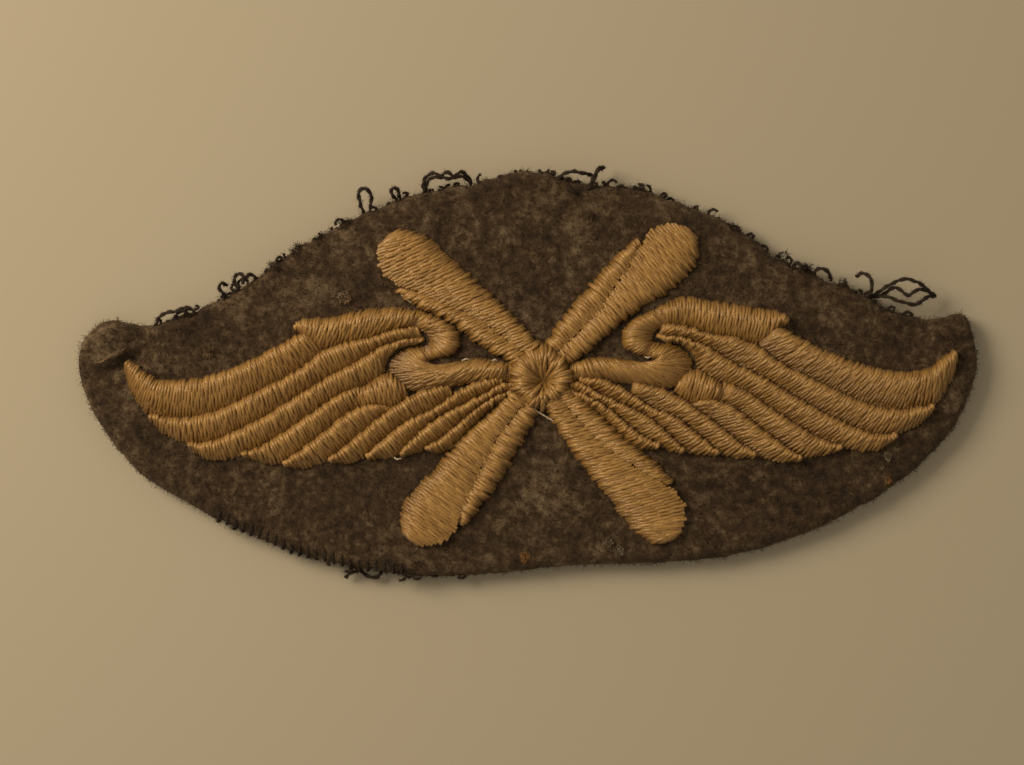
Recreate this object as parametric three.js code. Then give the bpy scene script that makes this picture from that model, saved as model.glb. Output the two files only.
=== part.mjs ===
// An embroidered flying badge: a winged four-blade propeller worked in satin stitch on a pointed
// oval of thick wool cloth. The cloth edge is turned under and tacked down with dark thread, and a
// gauze stiffener lies inside the turned edge, with the bobbin thread of the stitches under it.
// The badge lies on its back: X runs along the wings, +Y is the top edge, +Z is the worked face,
// and Z = 0 is the underside of the turned edge. Everything is drawn from the propeller hub and
// the whole is then centred on its own box.
import * as THREE from 'three';

// ---- driving dimensions, in millimetres
const clothThickness = 1.5; // one layer of milled wool cloth
const hemThickness = 1.3; // the turned-under layer, pressed a little thinner
const hemWidth = 6.5; // how far the turned edge reaches inwards
const edgeRadius = 0.7; // rounding of the fold
const gauzeThickness = 0.3;
const bobbinThickness = 0.35;
const satinHeight = 0.95; // crown of a feather over the cloth
const bladeHeight = 1.15;
const hubHeight = 1.35;
const columnGap = 0.3; // clear space between neighbouring stitched columns
const hubRadius = 3.5;
const hubHoleRadius = 0.35;
const threadDiameter = 0.45; // the dark tacking thread
const jumpThreadDiameter = 0.4; // an embroidery thread carried between two columns

const faceZ = hemThickness + clothThickness; // top of the cloth, where the stitching starts
const outlineSamples = 84;
const satinStations = 11;

const group = new THREE.Group();

// ---- materials
const woolCloth = new THREE.MeshStandardMaterial({ color: 0x3f3426, roughness: 0.95, metalness: 0 });
const goldThread = new THREE.MeshStandardMaterial({ color: 0x9a6c35, roughness: 0.5, metalness: 0 });
const paleThread = new THREE.MeshStandardMaterial({ color: 0xcbb08c, roughness: 0.5, metalness: 0 });
const darkThread = new THREE.MeshStandardMaterial({ color: 0x33291e, roughness: 0.8, metalness: 0 });
const gauze = new THREE.MeshStandardMaterial({ color: 0xb9ad97, roughness: 0.9, metalness: 0 });
const bobbinThread = new THREE.MeshStandardMaterial({ color: 0xd5ccb9, roughness: 0.6, metalness: 0 });

// ---- building blocks

// A closed or open smooth line through flat [x, y] points.
function line(points, closed = false) {
  const along = points.map(([x, y]) => new THREE.Vector3(x, y, 0));
  return new THREE.CatmullRomCurve3(along, closed, 'centripetal');
}

// Skins a stack of equal rings of points with a flat cap on the first and the last ring. The
// rings run counter-clockwise seen from above, and the stack runs downwards from the top cap.
function skinRings(rings) {
  const count = rings[0].length;
  const positions = rings.flat().flatMap((point) => [point.x, point.y, point.z]);
  const index = [];
  for (let ring = 0; ring + 1 < rings.length; ring += 1) {
    for (let i = 0; i < count; i += 1) {
      const next = (i + 1) % count;
      const upper = ring * count;
      const lower = upper + count;
      index.push(upper + i, lower + i, lower + next);
      index.push(upper + i, lower + next, upper + next);
    }
  }
  const capOf = (ring) => THREE.ShapeUtils.triangulateShape(
    ring.map((point) => new THREE.Vector2(point.x, point.y)), []);
  const lastRing = (rings.length - 1) * count;
  capOf(rings[0]).forEach(([a, b, c]) => index.push(a, b, c));
  capOf(rings.at(-1)).forEach(([a, b, c]) => index.push(lastRing + a, lastRing + c, lastRing + b));
  const geometry = new THREE.BufferGeometry();
  geometry.setAttribute('position', new THREE.Float32BufferAttribute(positions, 3));
  geometry.setIndex(index);
  geometry.computeVertexNormals();
  return geometry;
}

function addMesh(name, geometry, material) {
  const mesh = new THREE.Mesh(geometry, material);
  mesh.name = name;
  group.add(mesh);
}

// The cross-section of a stitched column: share of the width, share of the crown height.
const satinSection = [[0, 0], [0.1, 0.62], [0.5, 1], [0.9, 0.62], [1, 0]];

// A satin-stitch column lies between two rails, each a line of [x, y] points, and a stitch joins
// the same station of both rails. The column keeps half of columnGap clear inside each rail.
function satinGeometry(railA, railB, height, stations = satinStations) {
  const curveA = line(railA);
  const curveB = line(railB);
  const positions = [];
  for (let station = 0; station < stations; station += 1) {
    const along = station / (stations - 1);
    const start = curveA.getPointAt(along);
    const end = curveB.getPointAt(along);
    const clear = Math.min(columnGap / 2 / start.distanceTo(end), 0.35);
    satinSection.forEach(([across, lift]) => {
      const point = start.clone().lerp(end, clear + across * (1 - 2 * clear));
      positions.push(point.x, point.y, faceZ + lift * height);
    });
  }
  const count = satinSection.length;
  const index = [];
  for (let station = 0; station + 1 < stations; station += 1) {
    for (let i = 0; i < count; i += 1) {
      const next = (i + 1) % count;
      const here = station * count;
      const there = here + count;
      index.push(here + i, there + i, there + next);
      index.push(here + i, there + next, here + next);
    }
  }
  const last = (stations - 1) * count;
  for (let i = 1; i + 1 < count; i += 1) {
    index.push(0, i, i + 1);
    index.push(last, last + i + 1, last + i);
  }
  const geometry = new THREE.BufferGeometry();
  geometry.setAttribute('position', new THREE.Float32BufferAttribute(positions, 3));
  geometry.setIndex(turnedOutwards(positions, index));
  geometry.computeVertexNormals();
  return geometry;
}

// Reverses every triangle of a closed skin whose volume comes out negative, so that its faces
// point out whichever side the first rail is on.
function turnedOutwards(positions, index) {
  const at = (i) => new THREE.Vector3().fromArray(positions, 3 * i);
  let volume = 0;
  for (let i = 0; i < index.length; i += 3) {
    volume += at(index[i]).dot(at(index[i + 1]).cross(at(index[i + 2])));
  }
  if (volume > 0) return index;
  return index.map((value, i) => (i % 3 === 1 ? index[i + 1] : i % 3 === 2 ? index[i - 1] : value));
}

// A loose thread: a round section swept along a smooth line of [x, y, z] points.
function threadGeometry(points, diameter) {
  const path = new THREE.CatmullRomCurve3(points.map(([x, y, z]) => new THREE.Vector3(x, y, z)));
  const section = new THREE.Shape();
  const sides = 6;
  for (let side = 0; side < sides; side += 1) {
    const turn = (side / sides) * 2 * Math.PI;
    const x = Math.cos(turn) * diameter / 2;
    const y = Math.sin(turn) * diameter / 2;
    if (side === 0) section.moveTo(x, y);
    else section.lineTo(x, y);
  }
  section.closePath();
  const steps = 2 * points.length;
  return new THREE.ExtrudeGeometry(section, { steps, extrudePath: path, bevelEnabled: false });
}

// ---- the cloth: a face, a rounded fold and a hem ring, as one piece of wool
const clothOutline = [
  [-51.4, 3.2], [-51.4, 1], [-50.5, -2], [-48.2, -6.2], [-44.8, -10.2], [-40.2, -13.2],
  [-33.5, -16.9], [-26, -19.9], [-17, -21.8], [-7, -22], [3, -21.1], [13, -20.9], [22, -20],
  [30, -17.5], [37, -14], [42, -10.4], [45.8, -6.4], [48.1, -1.6], [48.6, 1.2], [48.2, 4],
  [47.6, 6], [46.2, 6.5], [43.6, 6], [39.6, 6.8], [36, 8.8], [31, 10.8], [26.4, 12.9],
  [22.5, 16.1], [16.5, 18.9], [11, 20.9], [5, 21.5], [-0.8, 23], [-8, 21.6], [-15, 20.2],
  [-21, 17.8], [-26.5, 14.9], [-30.6, 12], [-36, 9], [-41, 7], [-44.2, 6.3], [-47.6, 7],
  [-50.4, 5.6],
];
const outline = line(clothOutline, true).getSpacedPoints(outlineSamples).slice(0, outlineSamples);
const clothCentre = outline.reduce((sum, point) => sum.add(point), new THREE.Vector3())
  .divideScalar(outlineSamples);

// The outline pulled in by a distance, square to its own edge, at a height.
function ringAt(inset, z) {
  return outline.map((point, i) => {
    const before = outline[(i + outlineSamples - 1) % outlineSamples];
    const after = outline[(i + 1) % outlineSamples];
    const run = after.clone().sub(before).normalize();
    return new THREE.Vector3(point.x - run.y * inset, point.y + run.x * inset, z);
  });
}

// The outline shrunk towards the middle, so that sharp ends stay open, at a height.
function shrunkAt(inset, z) {
  const shareX = 1 - inset * 1.5 / 50;
  const shareY = 1 - inset / 22;
  return outline.map((point) => new THREE.Vector3(
    clothCentre.x + (point.x - clothCentre.x) * shareX,
    clothCentre.y + (point.y - clothCentre.y) * shareY,
    z,
  ));
}

addMesh('base_cloth', skinRings([
  ringAt(edgeRadius, faceZ),
  ringAt(edgeRadius * 0.3, faceZ - edgeRadius * 0.3),
  ringAt(0, faceZ / 2),
  ringAt(edgeRadius * 0.3, edgeRadius * 0.3),
  ringAt(edgeRadius, 0),
  shrunkAt(hemWidth, 0),
  shrunkAt(hemWidth, hemThickness),
]), woolCloth);

addMesh('backing_gauze', skinRings([
  shrunkAt(hemWidth + 1, hemThickness),
  shrunkAt(hemWidth + 1, hemThickness - gauzeThickness),
]), gauze);

// ---- the wings
// Each feather edge is a line from the tip inwards, as [distance from the hub, height]. A feather
// fills the space between its own edge and the next one, and its open end is the feather's tip.
const featherEdges = [
  [[45.6, 2.2], [44.4, 1.5], [43, 0.4], [40.5, 0], [37.5, 0.3], [34.5, 1.2], [31, 2.7],
    [28.4, 4.1], [26.7, 5]],
  [[43.1, -3.7], [40, -4.1], [37, -3.7], [33.5, -2.3], [29, -0.1], [26.4, 1.3], [24.5, 2.8],
    [22, 3.9], [19, 4.4], [16.5, 5.2], [13.8, 5.7]],
  [[39, -6.8], [36.8, -6.8], [34, -5.7], [30, -3.7], [25, -0.6], [21.5, 1.2], [18.2, 3.2],
    [15.4, 4.1], [13, 4.4]],
  [[33, -8], [31, -7.3], [28, -5.5], [25, -3.5], [22.5, -1.8], [20.3, -0.9]],
  [[28.5, -9.1], [26.5, -7.7], [24, -5.8], [21.5, -3.8], [19.2, -2.9], [17.2, -3.2]],
  [[23.4, -8.7], [21.4, -7.1], [18.5, -4.8], [15.8, -2.8], [13.6, -1.6], [10.4, -0.8]],
  [[19.3, -8.4], [17.6, -6.8], [15, -4.8], [12.2, -3.6], [10, -2.1], [7.9, -0.8], [6, -0.3]],
  [[15.5, -8.1], [13.2, -5.7], [11, -4.1], [8.4, -2.9], [6, -1.7], [4.3, -0.8]],
  [[12.8, -7.6], [10.8, -6.5], [8.6, -4.6], [6.4, -3], [4.8, -2.1]],
];
// The lower side of each feather: the cut of its tip, and then the line it shares with the next
// feather, as far in as the feather goes.
const featherUndersides = [
  [[45.9, 1.2], [45.3, -1], [44, -3], [43.1, -3.7], [40, -4.1], [37, -3.7], [33.5, -2.3],
    [29, -0.1], [26.4, 1.3], [25.3, 2.1]],
  [[43.1, -4.3], [41.6, -5.8], [39, -6.8], [36.8, -6.8], [34, -5.7], [30, -3.7], [25, -0.6],
    [21.5, 1.2], [18.2, 3.2], [15.4, 4.1], [13.2, 4.5]],
  [[38.8, -7.3], [37.2, -8.5], [35, -8.6], [33, -8], [31, -7.3], [28, -5.5], [25, -3.5],
    [22.5, -1.8], [20.3, -0.9], [18.2, 0], [17.4, 1], [17, 2.3], [15.9, 3.4], [14.2, 3.8]],
  [[32.8, -8.4], [31, -9], [28.5, -9.1], [26.5, -7.7], [24, -5.8], [21.5, -3.8], [19.9, -3]],
  [[28.3, -9.5], [26, -9.6], [23.4, -8.7], [21.4, -7.1], [18.5, -4.8], [16.6, -3.4]],
  [[23.2, -9.1], [21.2, -9.1], [19.3, -8.4], [17.6, -6.8], [15, -4.8], [12.2, -3.6], [10, -2.1]],
  [[19.1, -8.8], [17.2, -8.7], [15.5, -8.1], [13.2, -5.7], [11, -4.1], [8.4, -2.9], [6, -1.7]],
  [[15.3, -8.5], [14, -8.2], [12.8, -7.6], [10.8, -6.5], [8.6, -4.6], [6.4, -3], [4.8, -2.1]],
  [[12.6, -7.9], [11.3, -8.1], [9.9, -7.5], [8.3, -5.9], [6.6, -4.2], [5.1, -3]],
];

// The covert bar, the shoulder and the inner arm are one S-shaped band, worked in three columns.
const bandColumns = [
  {
    name: 'covert_bar',
    outer: [[27.2, 6.1], [26.2, 6.6], [23, 6.9], [19, 7.6], [15.8, 7.8], [12.8, 7.2]],
    inner: [[27, 5.5], [26, 4.8], [24.9, 3.4], [22, 3.9], [19, 4.4], [16.5, 5.2], [14, 5.7]],
    stations: 11,
  },
  {
    name: 'shoulder',
    outer: [[12.5, 7.1], [10.8, 6.3], [9.5, 5.4], [9, 4.3], [9.3, 3.2], [10.4, 2.4], [11.8, 2.1]],
    inner: [[13.7, 5.7], [12.9, 5.3], [12.4, 4.8], [12.2, 4.2], [12.2, 3.8], [12.6, 3.5]],
    stations: 9,
  },
  {
    name: 'inner_arm',
    outer: [[12.2, 2.1], [12.9, 1.8], [12.5, 1.3], [11.2, 1.3], [9.4, 1.6], [7.4, 1.9],
      [5.8, 1.9], [4.2, 1.5]],
    inner: [[13, 3.4], [15, 3.1], [16.4, 2], [16.6, 0.8], [15.6, -0.4], [13.6, -0.9], [10.6, -0.3],
      [7.6, 0.1], [4.2, 0.1]],
    stations: 17,
  },
  {
    name: 'tertial_patch',
    outer: [[19.8, -1.2], [18.5, -0.4], [17.4, 0.2], [16.5, 0.1], [15.9, -0.7]],
    inner: [[19.3, -2.6], [18.2, -2.9], [17, -3], [16, -2.6], [15.2, -1.6]],
    stations: 6,
  },
];

// The right covert bar was worked a little deeper than the left one.
const rightCovertTop = [[27.3, 6.3], [26.2, 6.9], [23, 7.4], [19, 8.1], [15.8, 8.5], [12.8, 7.4]];

for (const [wing, side] of [['left', -1], ['right', 1]]) {
  const placed = (rail) => rail.map(([out, up]) => [side * out, up]);
  bandColumns.forEach(({ name, outer, inner, stations }) => {
    const top = name === 'covert_bar' && wing === 'right' ? rightCovertTop : outer;
    const geometry = satinGeometry(placed(top), placed(inner), satinHeight, stations);
    addMesh(`${wing}_${name}`, geometry, goldThread);
  });
  featherEdges.forEach((edge, i) => {
    const geometry = satinGeometry(placed(edge), placed(featherUndersides[i]), satinHeight);
    addMesh(`${wing}_feather_${i + 1}`, geometry, goldThread);
  });
}

// ---- the propeller
// A blade is drawn along its own axis, as [distance from the hub, side step], and has two columns:
// a broad one that rounds the tip, and a narrow one behind it.
const bladeLeadingEdge = [[4.3, -1.8], [8, -2.3], [12, -2.8], [16, -3.1], [19.5, -3.3],
  [21.8, -2.7], [22.9, -1.3]];
const bladeSplit = [[4.3, 0.3], [9, 0.3], [12, 0.9], [15, 1.6], [18, 2.5]];
const bladeTip = [[20, 2.9], [21.8, 2.1], [22.9, 0.5]];
const bladeTrailingEdge = [[4.3, 2.2], [8, 2.8], [12, 3.2], [15.5, 3.4], [18.2, 3.3]];
// Each blade lies a little off its true axis at the root, and is squeezed where a wing crowds it.
const blades = [
  { name: 'upper_right_blade', angle: 44, rootStep: 0.4, squeezeLeading: 0.7, squeezeTrailing: 0 },
  { name: 'upper_left_blade', angle: 139, rootStep: -1.3, squeezeLeading: 0, squeezeTrailing: 0.8 },
  { name: 'lower_left_blade', angle: 231.5, rootStep: 0, squeezeLeading: 0, squeezeTrailing: 0 },
  { name: 'lower_right_blade', angle: 310.5, rootStep: -0.4, squeezeLeading: 0, squeezeTrailing: 0.5 },
];
const bladeReach = 22.9;
const squeezeCentre = 10.8;
const squeezeSpread = 3.2;

for (const { name, angle, rootStep, squeezeLeading, squeezeTrailing } of blades) {
  const axis = new THREE.Vector2(Math.cos(angle * Math.PI / 180), Math.sin(angle * Math.PI / 180));
  const placed = (rail) => rail.map(([out, step]) => {
    const crowding = Math.exp(-(((out - squeezeCentre) / squeezeSpread) ** 2));
    let across = step + rootStep * (1 - out / bladeReach);
    if (rail === bladeLeadingEdge) across += squeezeLeading * crowding;
    if (rail === bladeTrailingEdge) across -= squeezeTrailing * crowding;
    return [axis.x * out - axis.y * across, axis.y * out + axis.x * across];
  });
  const broad = satinGeometry(placed(bladeLeadingEdge), placed([...bladeSplit, ...bladeTip]),
    bladeHeight, 9);
  const narrow = satinGeometry(placed(bladeSplit), placed(bladeTrailingEdge), bladeHeight * 0.85, 8);
  addMesh(`${name}_broad`, broad, goldThread);
  addMesh(`${name}_narrow`, narrow, goldThread);
}

// The hub: a domed ring of radial stitches round the needle hole in the middle.
const hubProfile = [
  [hubHoleRadius, 0], [hubRadius, 0], [hubRadius * 0.93, 0.55 * hubHeight],
  [hubRadius * 0.6, hubHeight], [hubHoleRadius * 2, 0.7 * hubHeight], [hubHoleRadius, 0],
].map(([radius, height]) => new THREE.Vector2(radius, height));
const hubGeometry = new THREE.LatheGeometry(hubProfile, 24);
hubGeometry.rotateX(Math.PI / 2);
hubGeometry.translate(0, 0, faceZ);
addMesh('hub', hubGeometry, goldThread);

// ---- the back of the stitching: bobbin thread under the gauze
const bobbinTop = hemThickness - gauzeThickness;
function bobbinPad(name, points) {
  const pad = line(points, true).getSpacedPoints(24).slice(0, 24);
  addMesh(name, skinRings([
    pad.map((point) => new THREE.Vector3(point.x, point.y, bobbinTop)),
    pad.map((point) => new THREE.Vector3(point.x, point.y, bobbinTop - bobbinThickness)),
  ]), bobbinThread);
}
const wingPad = [[5.5, 1.2], [6.2, -1.8], [12, -7], [23, -8.6], [30, -7.2], [34.5, -4.2],
  [36, -1.4], [32.5, 1], [26, 5], [16, 6.2], [9, 3.6]];
bobbinPad('bobbin_threads_left_wing', wingPad.map(([out, up]) => [-out, up]).reverse());
bobbinPad('bobbin_threads_right_wing', wingPad);
bobbinPad('bobbin_threads_hub', [[3.4, 0], [2.4, 2.4], [0, 3.4], [-2.4, 2.4], [-3.4, 0],
  [-2.4, -2.4], [0, -3.4], [2.4, -2.4]]);

// ---- loose threads
// A pale end of embroidery thread carried across the foot of the hub, on top of the cloth.
const jumpZ = faceZ + jumpThreadDiameter / 2;
addMesh('jump_thread', threadGeometry([[-0.9, -3.9, jumpZ], [0, -4, jumpZ], [0.9, -4.6, jumpZ],
  [1.8, -5.7, jumpZ]], jumpThreadDiameter), paleThread);

// Loops of the dark tacking thread that stand out of the edge, each as [x, y] in the plane of the
// fold.
const tackingLoops = [
  ['left_end', [[-43.2, 7.2], [-42.3, 7.9], [-41, 8.4], [-39.6, 8.6], [-38.6, 8.5]]],
  ['upper_left_low', [[-34.6, 10.8], [-34.5, 11.7], [-33.5, 12.3], [-32.4, 12.2], [-32, 11.9]]],
  ['upper_left', [[-20.1, 19.3], [-20.3, 20.4], [-19.8, 21.2], [-18.9, 21.2], [-18.4, 20.3]]],
  ['top_left', [[-12.6, 21.7], [-12.2, 22.4], [-11, 22.8], [-9.8, 22.8], [-8.6, 23], [-7.6, 22.8]]],
  ['top_right', [[3.8, 22.9], [5, 22.8], [5.9, 22.3], [6.8, 22.6], [7.3, 23.2]]],
  ['upper_right_low', [[35.3, 11.2], [36, 11.4], [36.7, 10.8], [37, 9.8], [37.3, 9]]],
  ['right_long', [[38.6, 8.9], [39.6, 10], [40.9, 10.3], [42.5, 9.7], [43.8, 8.5], [42.4, 8.1],
    [41.2, 7.7], [40, 8]]],
  ['bottom_left', [[-23.6, -21.8], [-22.4, -21.7], [-21.2, -21.9], [-20, -22.3], [-18.8, -22.5]]],
];
tackingLoops.forEach(([place, points]) => {
  const path = points.map(([x, y]) => [x, y, faceZ / 2]);
  addMesh(`tacking_loop_${place}`, threadGeometry(path, threadDiameter), darkThread);
});

// ---- the origin is the middle of the box, on the plane the badge lies on
const box = new THREE.Box3().setFromObject(group);
const middle = box.getCenter(new THREE.Vector3());
group.position.set(-middle.x, -middle.y, 0);

export default group;
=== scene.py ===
"""An embroidered flying badge: a winged propeller in golden satin stitch on turned-under wool.

The sections follow the making of the badge: the cloth is cut, turned under and tacked, its back is
stiffened, and then the wings, the propeller and the hub are worked. All drawing is in millimetres
from the propeller hub, with X along the wings and Y towards the top edge.
"""
import math
import random
from functools import partial

import bmesh
import bpy
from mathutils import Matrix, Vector, noise


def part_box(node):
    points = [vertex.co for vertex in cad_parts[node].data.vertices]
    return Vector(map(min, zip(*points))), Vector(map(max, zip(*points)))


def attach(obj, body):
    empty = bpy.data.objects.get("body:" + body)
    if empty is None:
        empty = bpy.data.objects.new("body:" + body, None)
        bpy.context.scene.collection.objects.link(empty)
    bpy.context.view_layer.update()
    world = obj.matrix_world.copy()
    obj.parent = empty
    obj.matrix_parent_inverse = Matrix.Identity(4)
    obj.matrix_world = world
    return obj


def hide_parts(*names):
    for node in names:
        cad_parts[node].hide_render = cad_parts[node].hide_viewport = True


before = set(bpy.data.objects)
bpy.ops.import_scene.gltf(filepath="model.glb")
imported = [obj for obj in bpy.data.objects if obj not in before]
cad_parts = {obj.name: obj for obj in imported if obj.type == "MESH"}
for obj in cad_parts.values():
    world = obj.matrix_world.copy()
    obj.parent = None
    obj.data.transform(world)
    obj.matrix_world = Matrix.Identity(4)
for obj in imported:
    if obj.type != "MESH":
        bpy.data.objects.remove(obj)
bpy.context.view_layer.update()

# ---- where the drawing sits
# The hub is the point that everything is drawn from, and the stitching starts on the cloth's face.
MM = 0.001
hub_low, hub_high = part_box("hub")
hub_middle = (hub_low + hub_high) / 2
face_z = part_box("base_cloth")[1].z / MM


def placed(x, y, z=0.0):
    """A point of the drawing, in millimetres from the hub, as a point of the model in metres."""
    return Vector((hub_middle.x + x * MM, hub_middle.y + y * MM, z * MM))


# ---- the camera
# It looks straight down on the badge, which lies turned a little on the table.
view_width = 113.4
look_at = placed(-3.22, -0.57)
camera_data = bpy.data.cameras.new("camera")
camera_data.lens = 85
camera_data.sensor_width = 36
camera_data.clip_start = 0.01
camera = bpy.data.objects.new("camera", camera_data)
camera_height = face_z + view_width * camera_data.lens / camera_data.sensor_width
camera.location = (look_at.x, look_at.y, camera_height * MM)
camera.rotation_euler = (0, 0, math.radians(-0.7))
bpy.context.scene.collection.objects.link(camera)
bpy.context.scene.camera = camera
bpy.context.scene.view_settings.view_transform = "Standard"


# ---- the wool cloth
# A pointed oval of milled brown-grey wool, 1.5 mm thick. Its edge is folded to the back all round
# and lies there as a hem, so the cloth is one sheet: face, soft fold and hem.
def colour(hex_value):
    """An sRGB hex value as a linear colour with full alpha."""
    channels = [((hex_value >> shift) & 255) / 255 for shift in (16, 8, 0)]
    linear = [c / 12.92 if c <= 0.04045 else ((c + 0.055) / 1.055) ** 2.4 for c in channels]
    return (*linear, 1.0)


def set_inputs(tree, node, values):
    """Fills a node's inputs. A value is a plain one, a node, or a node and an output's key."""
    for key, value in values.items():
        if isinstance(value, tuple) and isinstance(value[0], bpy.types.Node):
            tree.links.new(value[0].outputs[value[1]], node.inputs[key])
        elif isinstance(value, bpy.types.Node):
            tree.links.new(value.outputs[0], node.inputs[key])
        else:
            node.inputs[key].default_value = value


def add_node(tree, kind, *inputs, **settings):
    """Adds a node with its settings. Inputs are in socket order, or in a dict by their keys."""
    node = tree.nodes.new(kind)
    for name, value in settings.items():
        setattr(node, name, value)
    for place, value in enumerate(inputs):
        set_inputs(tree, node, value if isinstance(value, dict) else {place: value})
    return node


maths = "ShaderNodeMath"
vector_maths = "ShaderNodeVectorMath"


def new_material(name):
    """A material, its node tree, and the shader node in it."""
    made = bpy.data.materials.new(name)
    made.use_nodes = True
    return made, made.node_tree, made.node_tree.nodes["Principled BSDF"]


def linked(name, data):
    """An object with this data, put in the scene."""
    made = bpy.data.objects.new(name, data)
    bpy.context.scene.collection.objects.link(made)
    return made


def ride_in(piece):
    """Puts a piece on the badge's one body."""
    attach(piece, "root")


def smooth_line(points, closed=False, steps=8):
    """A Catmull-Rom line through [x, y] points, as a list of flat vectors."""
    knots = [Vector(point) for point in points]
    count = len(knots)
    spans = count if closed else count - 1
    found = []
    for span in range(spans):
        if closed:
            a, b, c, d = (knots[(span + i) % count] for i in (-1, 0, 1, 2))
        else:
            a, b, c, d = (knots[min(max(span + i, 0), count - 1)] for i in (-1, 0, 1, 2))
        for step in range(steps):
            t = step / steps
            found.append(0.5 * (2 * b + (c - a) * t + (2 * a - 5 * b + 4 * c - d) * t ** 2
                                + (3 * b - 3 * c + d - a) * t ** 3))
    if not closed:
        found.append(knots[-1])
    return found


def line_length(line):
    """The length of a line from its first point to its last."""
    return sum((b - a).length for a, b in zip(line, line[1:]))


def evenly(line, count):
    """Points at equal steps round a closed line."""
    loop = line + line[:1]
    step = line_length(loop) / count
    found = []
    walked = 0.0
    for a, b in zip(loop, loop[1:]):
        span = (b - a).length
        while len(found) < count and len(found) * step <= walked + span:
            found.append(a.lerp(b, (len(found) * step - walked) / span))
        walked += span
    return found


cloth_outline = [
    (-51.4, 3.2), (-51.4, 1), (-50.5, -2), (-48.2, -6.2), (-44.8, -10.2), (-40.2, -13.2),
    (-33.5, -16.9), (-26, -19.9), (-17, -21.8), (-7, -22), (3, -21.1), (13, -20.9), (22, -20),
    (30, -17.5), (37, -14), (42, -10.4), (45.8, -6.4), (48.1, -1.6), (48.6, 1.2), (48.2, 4),
    (47.6, 6), (46.2, 6.5), (43.6, 6), (39.6, 6.8), (36, 8.8), (31, 10.8), (26.4, 12.9),
    (22.5, 16.1), (16.5, 18.9), (11, 20.9), (5, 21.5), (-0.8, 23), (-8, 21.6), (-15, 20.2),
    (-21, 17.8), (-26.5, 14.9), (-30.6, 12), (-36, 9), (-41, 7), (-44.2, 6.3), (-47.6, 7),
    (-50.4, 5.6),
]
edge_samples = 480
face_rings = 50
hem_width = 6.5
hem_thickness = 1.3
fold_depth = 1.1  # how far in the rounding of the fold reaches
fold_turns = 8
face_reach = 20.8  # from the fold to the cloth's long middle line
edge_line = evenly(smooth_line(cloth_outline, closed=True), edge_samples)
cloth_centre = sum(edge_line, Vector((0, 0))) / edge_samples


# Where the tacking was pulled out, lumps of felted wool stand out of the edge: place and radius.
edge_lumps = ((-29.2, 12.3, 0.8), (-26.6, 13.9, 0.9), (-24.0, 15.2, 0.6), (-21.3, 16.7, 0.85),
              (11.2, 20.3, 0.6), (21.7, 15.7, 0.7), (27.1, 12.7, 0.65), (29.6, 11.2, 0.75),
              (33.6, 9.6, 0.6))


def edge_run(i):
    """Which way the outline runs at one of its samples."""
    return (edge_line[(i + 2) % edge_samples] - edge_line[i - 2]).normalized()


def edge_inset(i):
    """The waves of the fold: lumpy along the tacked top, scalloped by the overcast lower left."""
    x, y = edge_line[i]
    lumps = sum(0.85 * size * math.exp(-((x - lump_x) ** 2 + (y - lump_y) ** 2) / size ** 2)
                for lump_x, lump_y, size in edge_lumps)
    lumpy = 0.34 if y > 6 and abs(x) < 46 else 0.14
    wave = (lumpy * noise.noise((x / 1.5, y / 1.5, 4.0))
            + 0.1 * noise.noise((x / 0.6, y / 0.6, 9.0)))
    scallops = 0.3 * abs(math.sin(i * 1.35)) if -36 < x < -15 and y < -13 else 0.0
    return wave + scallops + 0.1 - lumps


def ring_at(inset, z):
    """The outline pulled in square to its own edge, at a height."""
    ring = []
    for i, point in enumerate(edge_line):
        run = edge_run(i)
        pulled = inset + edge_inset(i)
        ring.append((point.x - run.y * pulled, point.y + run.x * pulled, z))
    return ring


fold_line = ring_at(fold_depth, 0)


def shrunk_at(inset, z):
    """The inner line of the fold shrunk towards the cloth's long middle line, at a height."""
    share_x = 1 - inset * 1.5 / 50
    share_y = 1 - inset / 22
    return [(cloth_centre.x + (x - cloth_centre.x) * share_x,
             cloth_centre.y + (y - cloth_centre.y) * share_y, z) for x, y, _ in fold_line]


def patch(x, y, centre, reach, height):
    """A soft spot round a point: full in the middle, fading over its reach along x and along y."""
    return height * math.exp(-((x - centre[0]) / reach[0]) ** 2
                             - ((y - centre[1]) / reach[1]) ** 2)


def crease_side(x, y):
    """How far above the crease across the folded left end a point is."""
    return (y - 2.9) - 0.43 * (x + 47.5)


def face_relief(x, y):
    """How far the milled face stands off flat: felting lumps, and the creased left end."""
    rise = 0.16 * noise.noise((x / 5.5, y / 4.5, 1.0))
    rise += 0.1 * noise.noise((x / 1.7, y / 1.5, 2.0))
    rise += 0.05 * noise.noise((x / 0.7, y / 0.7, 3.0))
    rise += patch(x, y, (-48.3, 4.9), (2.8, 1.6), 0.7)
    rise += 0.6 * math.exp(-(crease_side(x, y) / 0.5) ** 2 - ((x + 47.5) / 1.9) ** 2)
    rise -= 0.9 * math.exp(-((crease_side(x, y) + 1.4) / 0.8) ** 2 - ((x + 46.5) / 2.6) ** 2)
    rise -= patch(x, y, (-44.2, 5.2), (1.1, 2.2), 0.7)
    return rise


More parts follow.
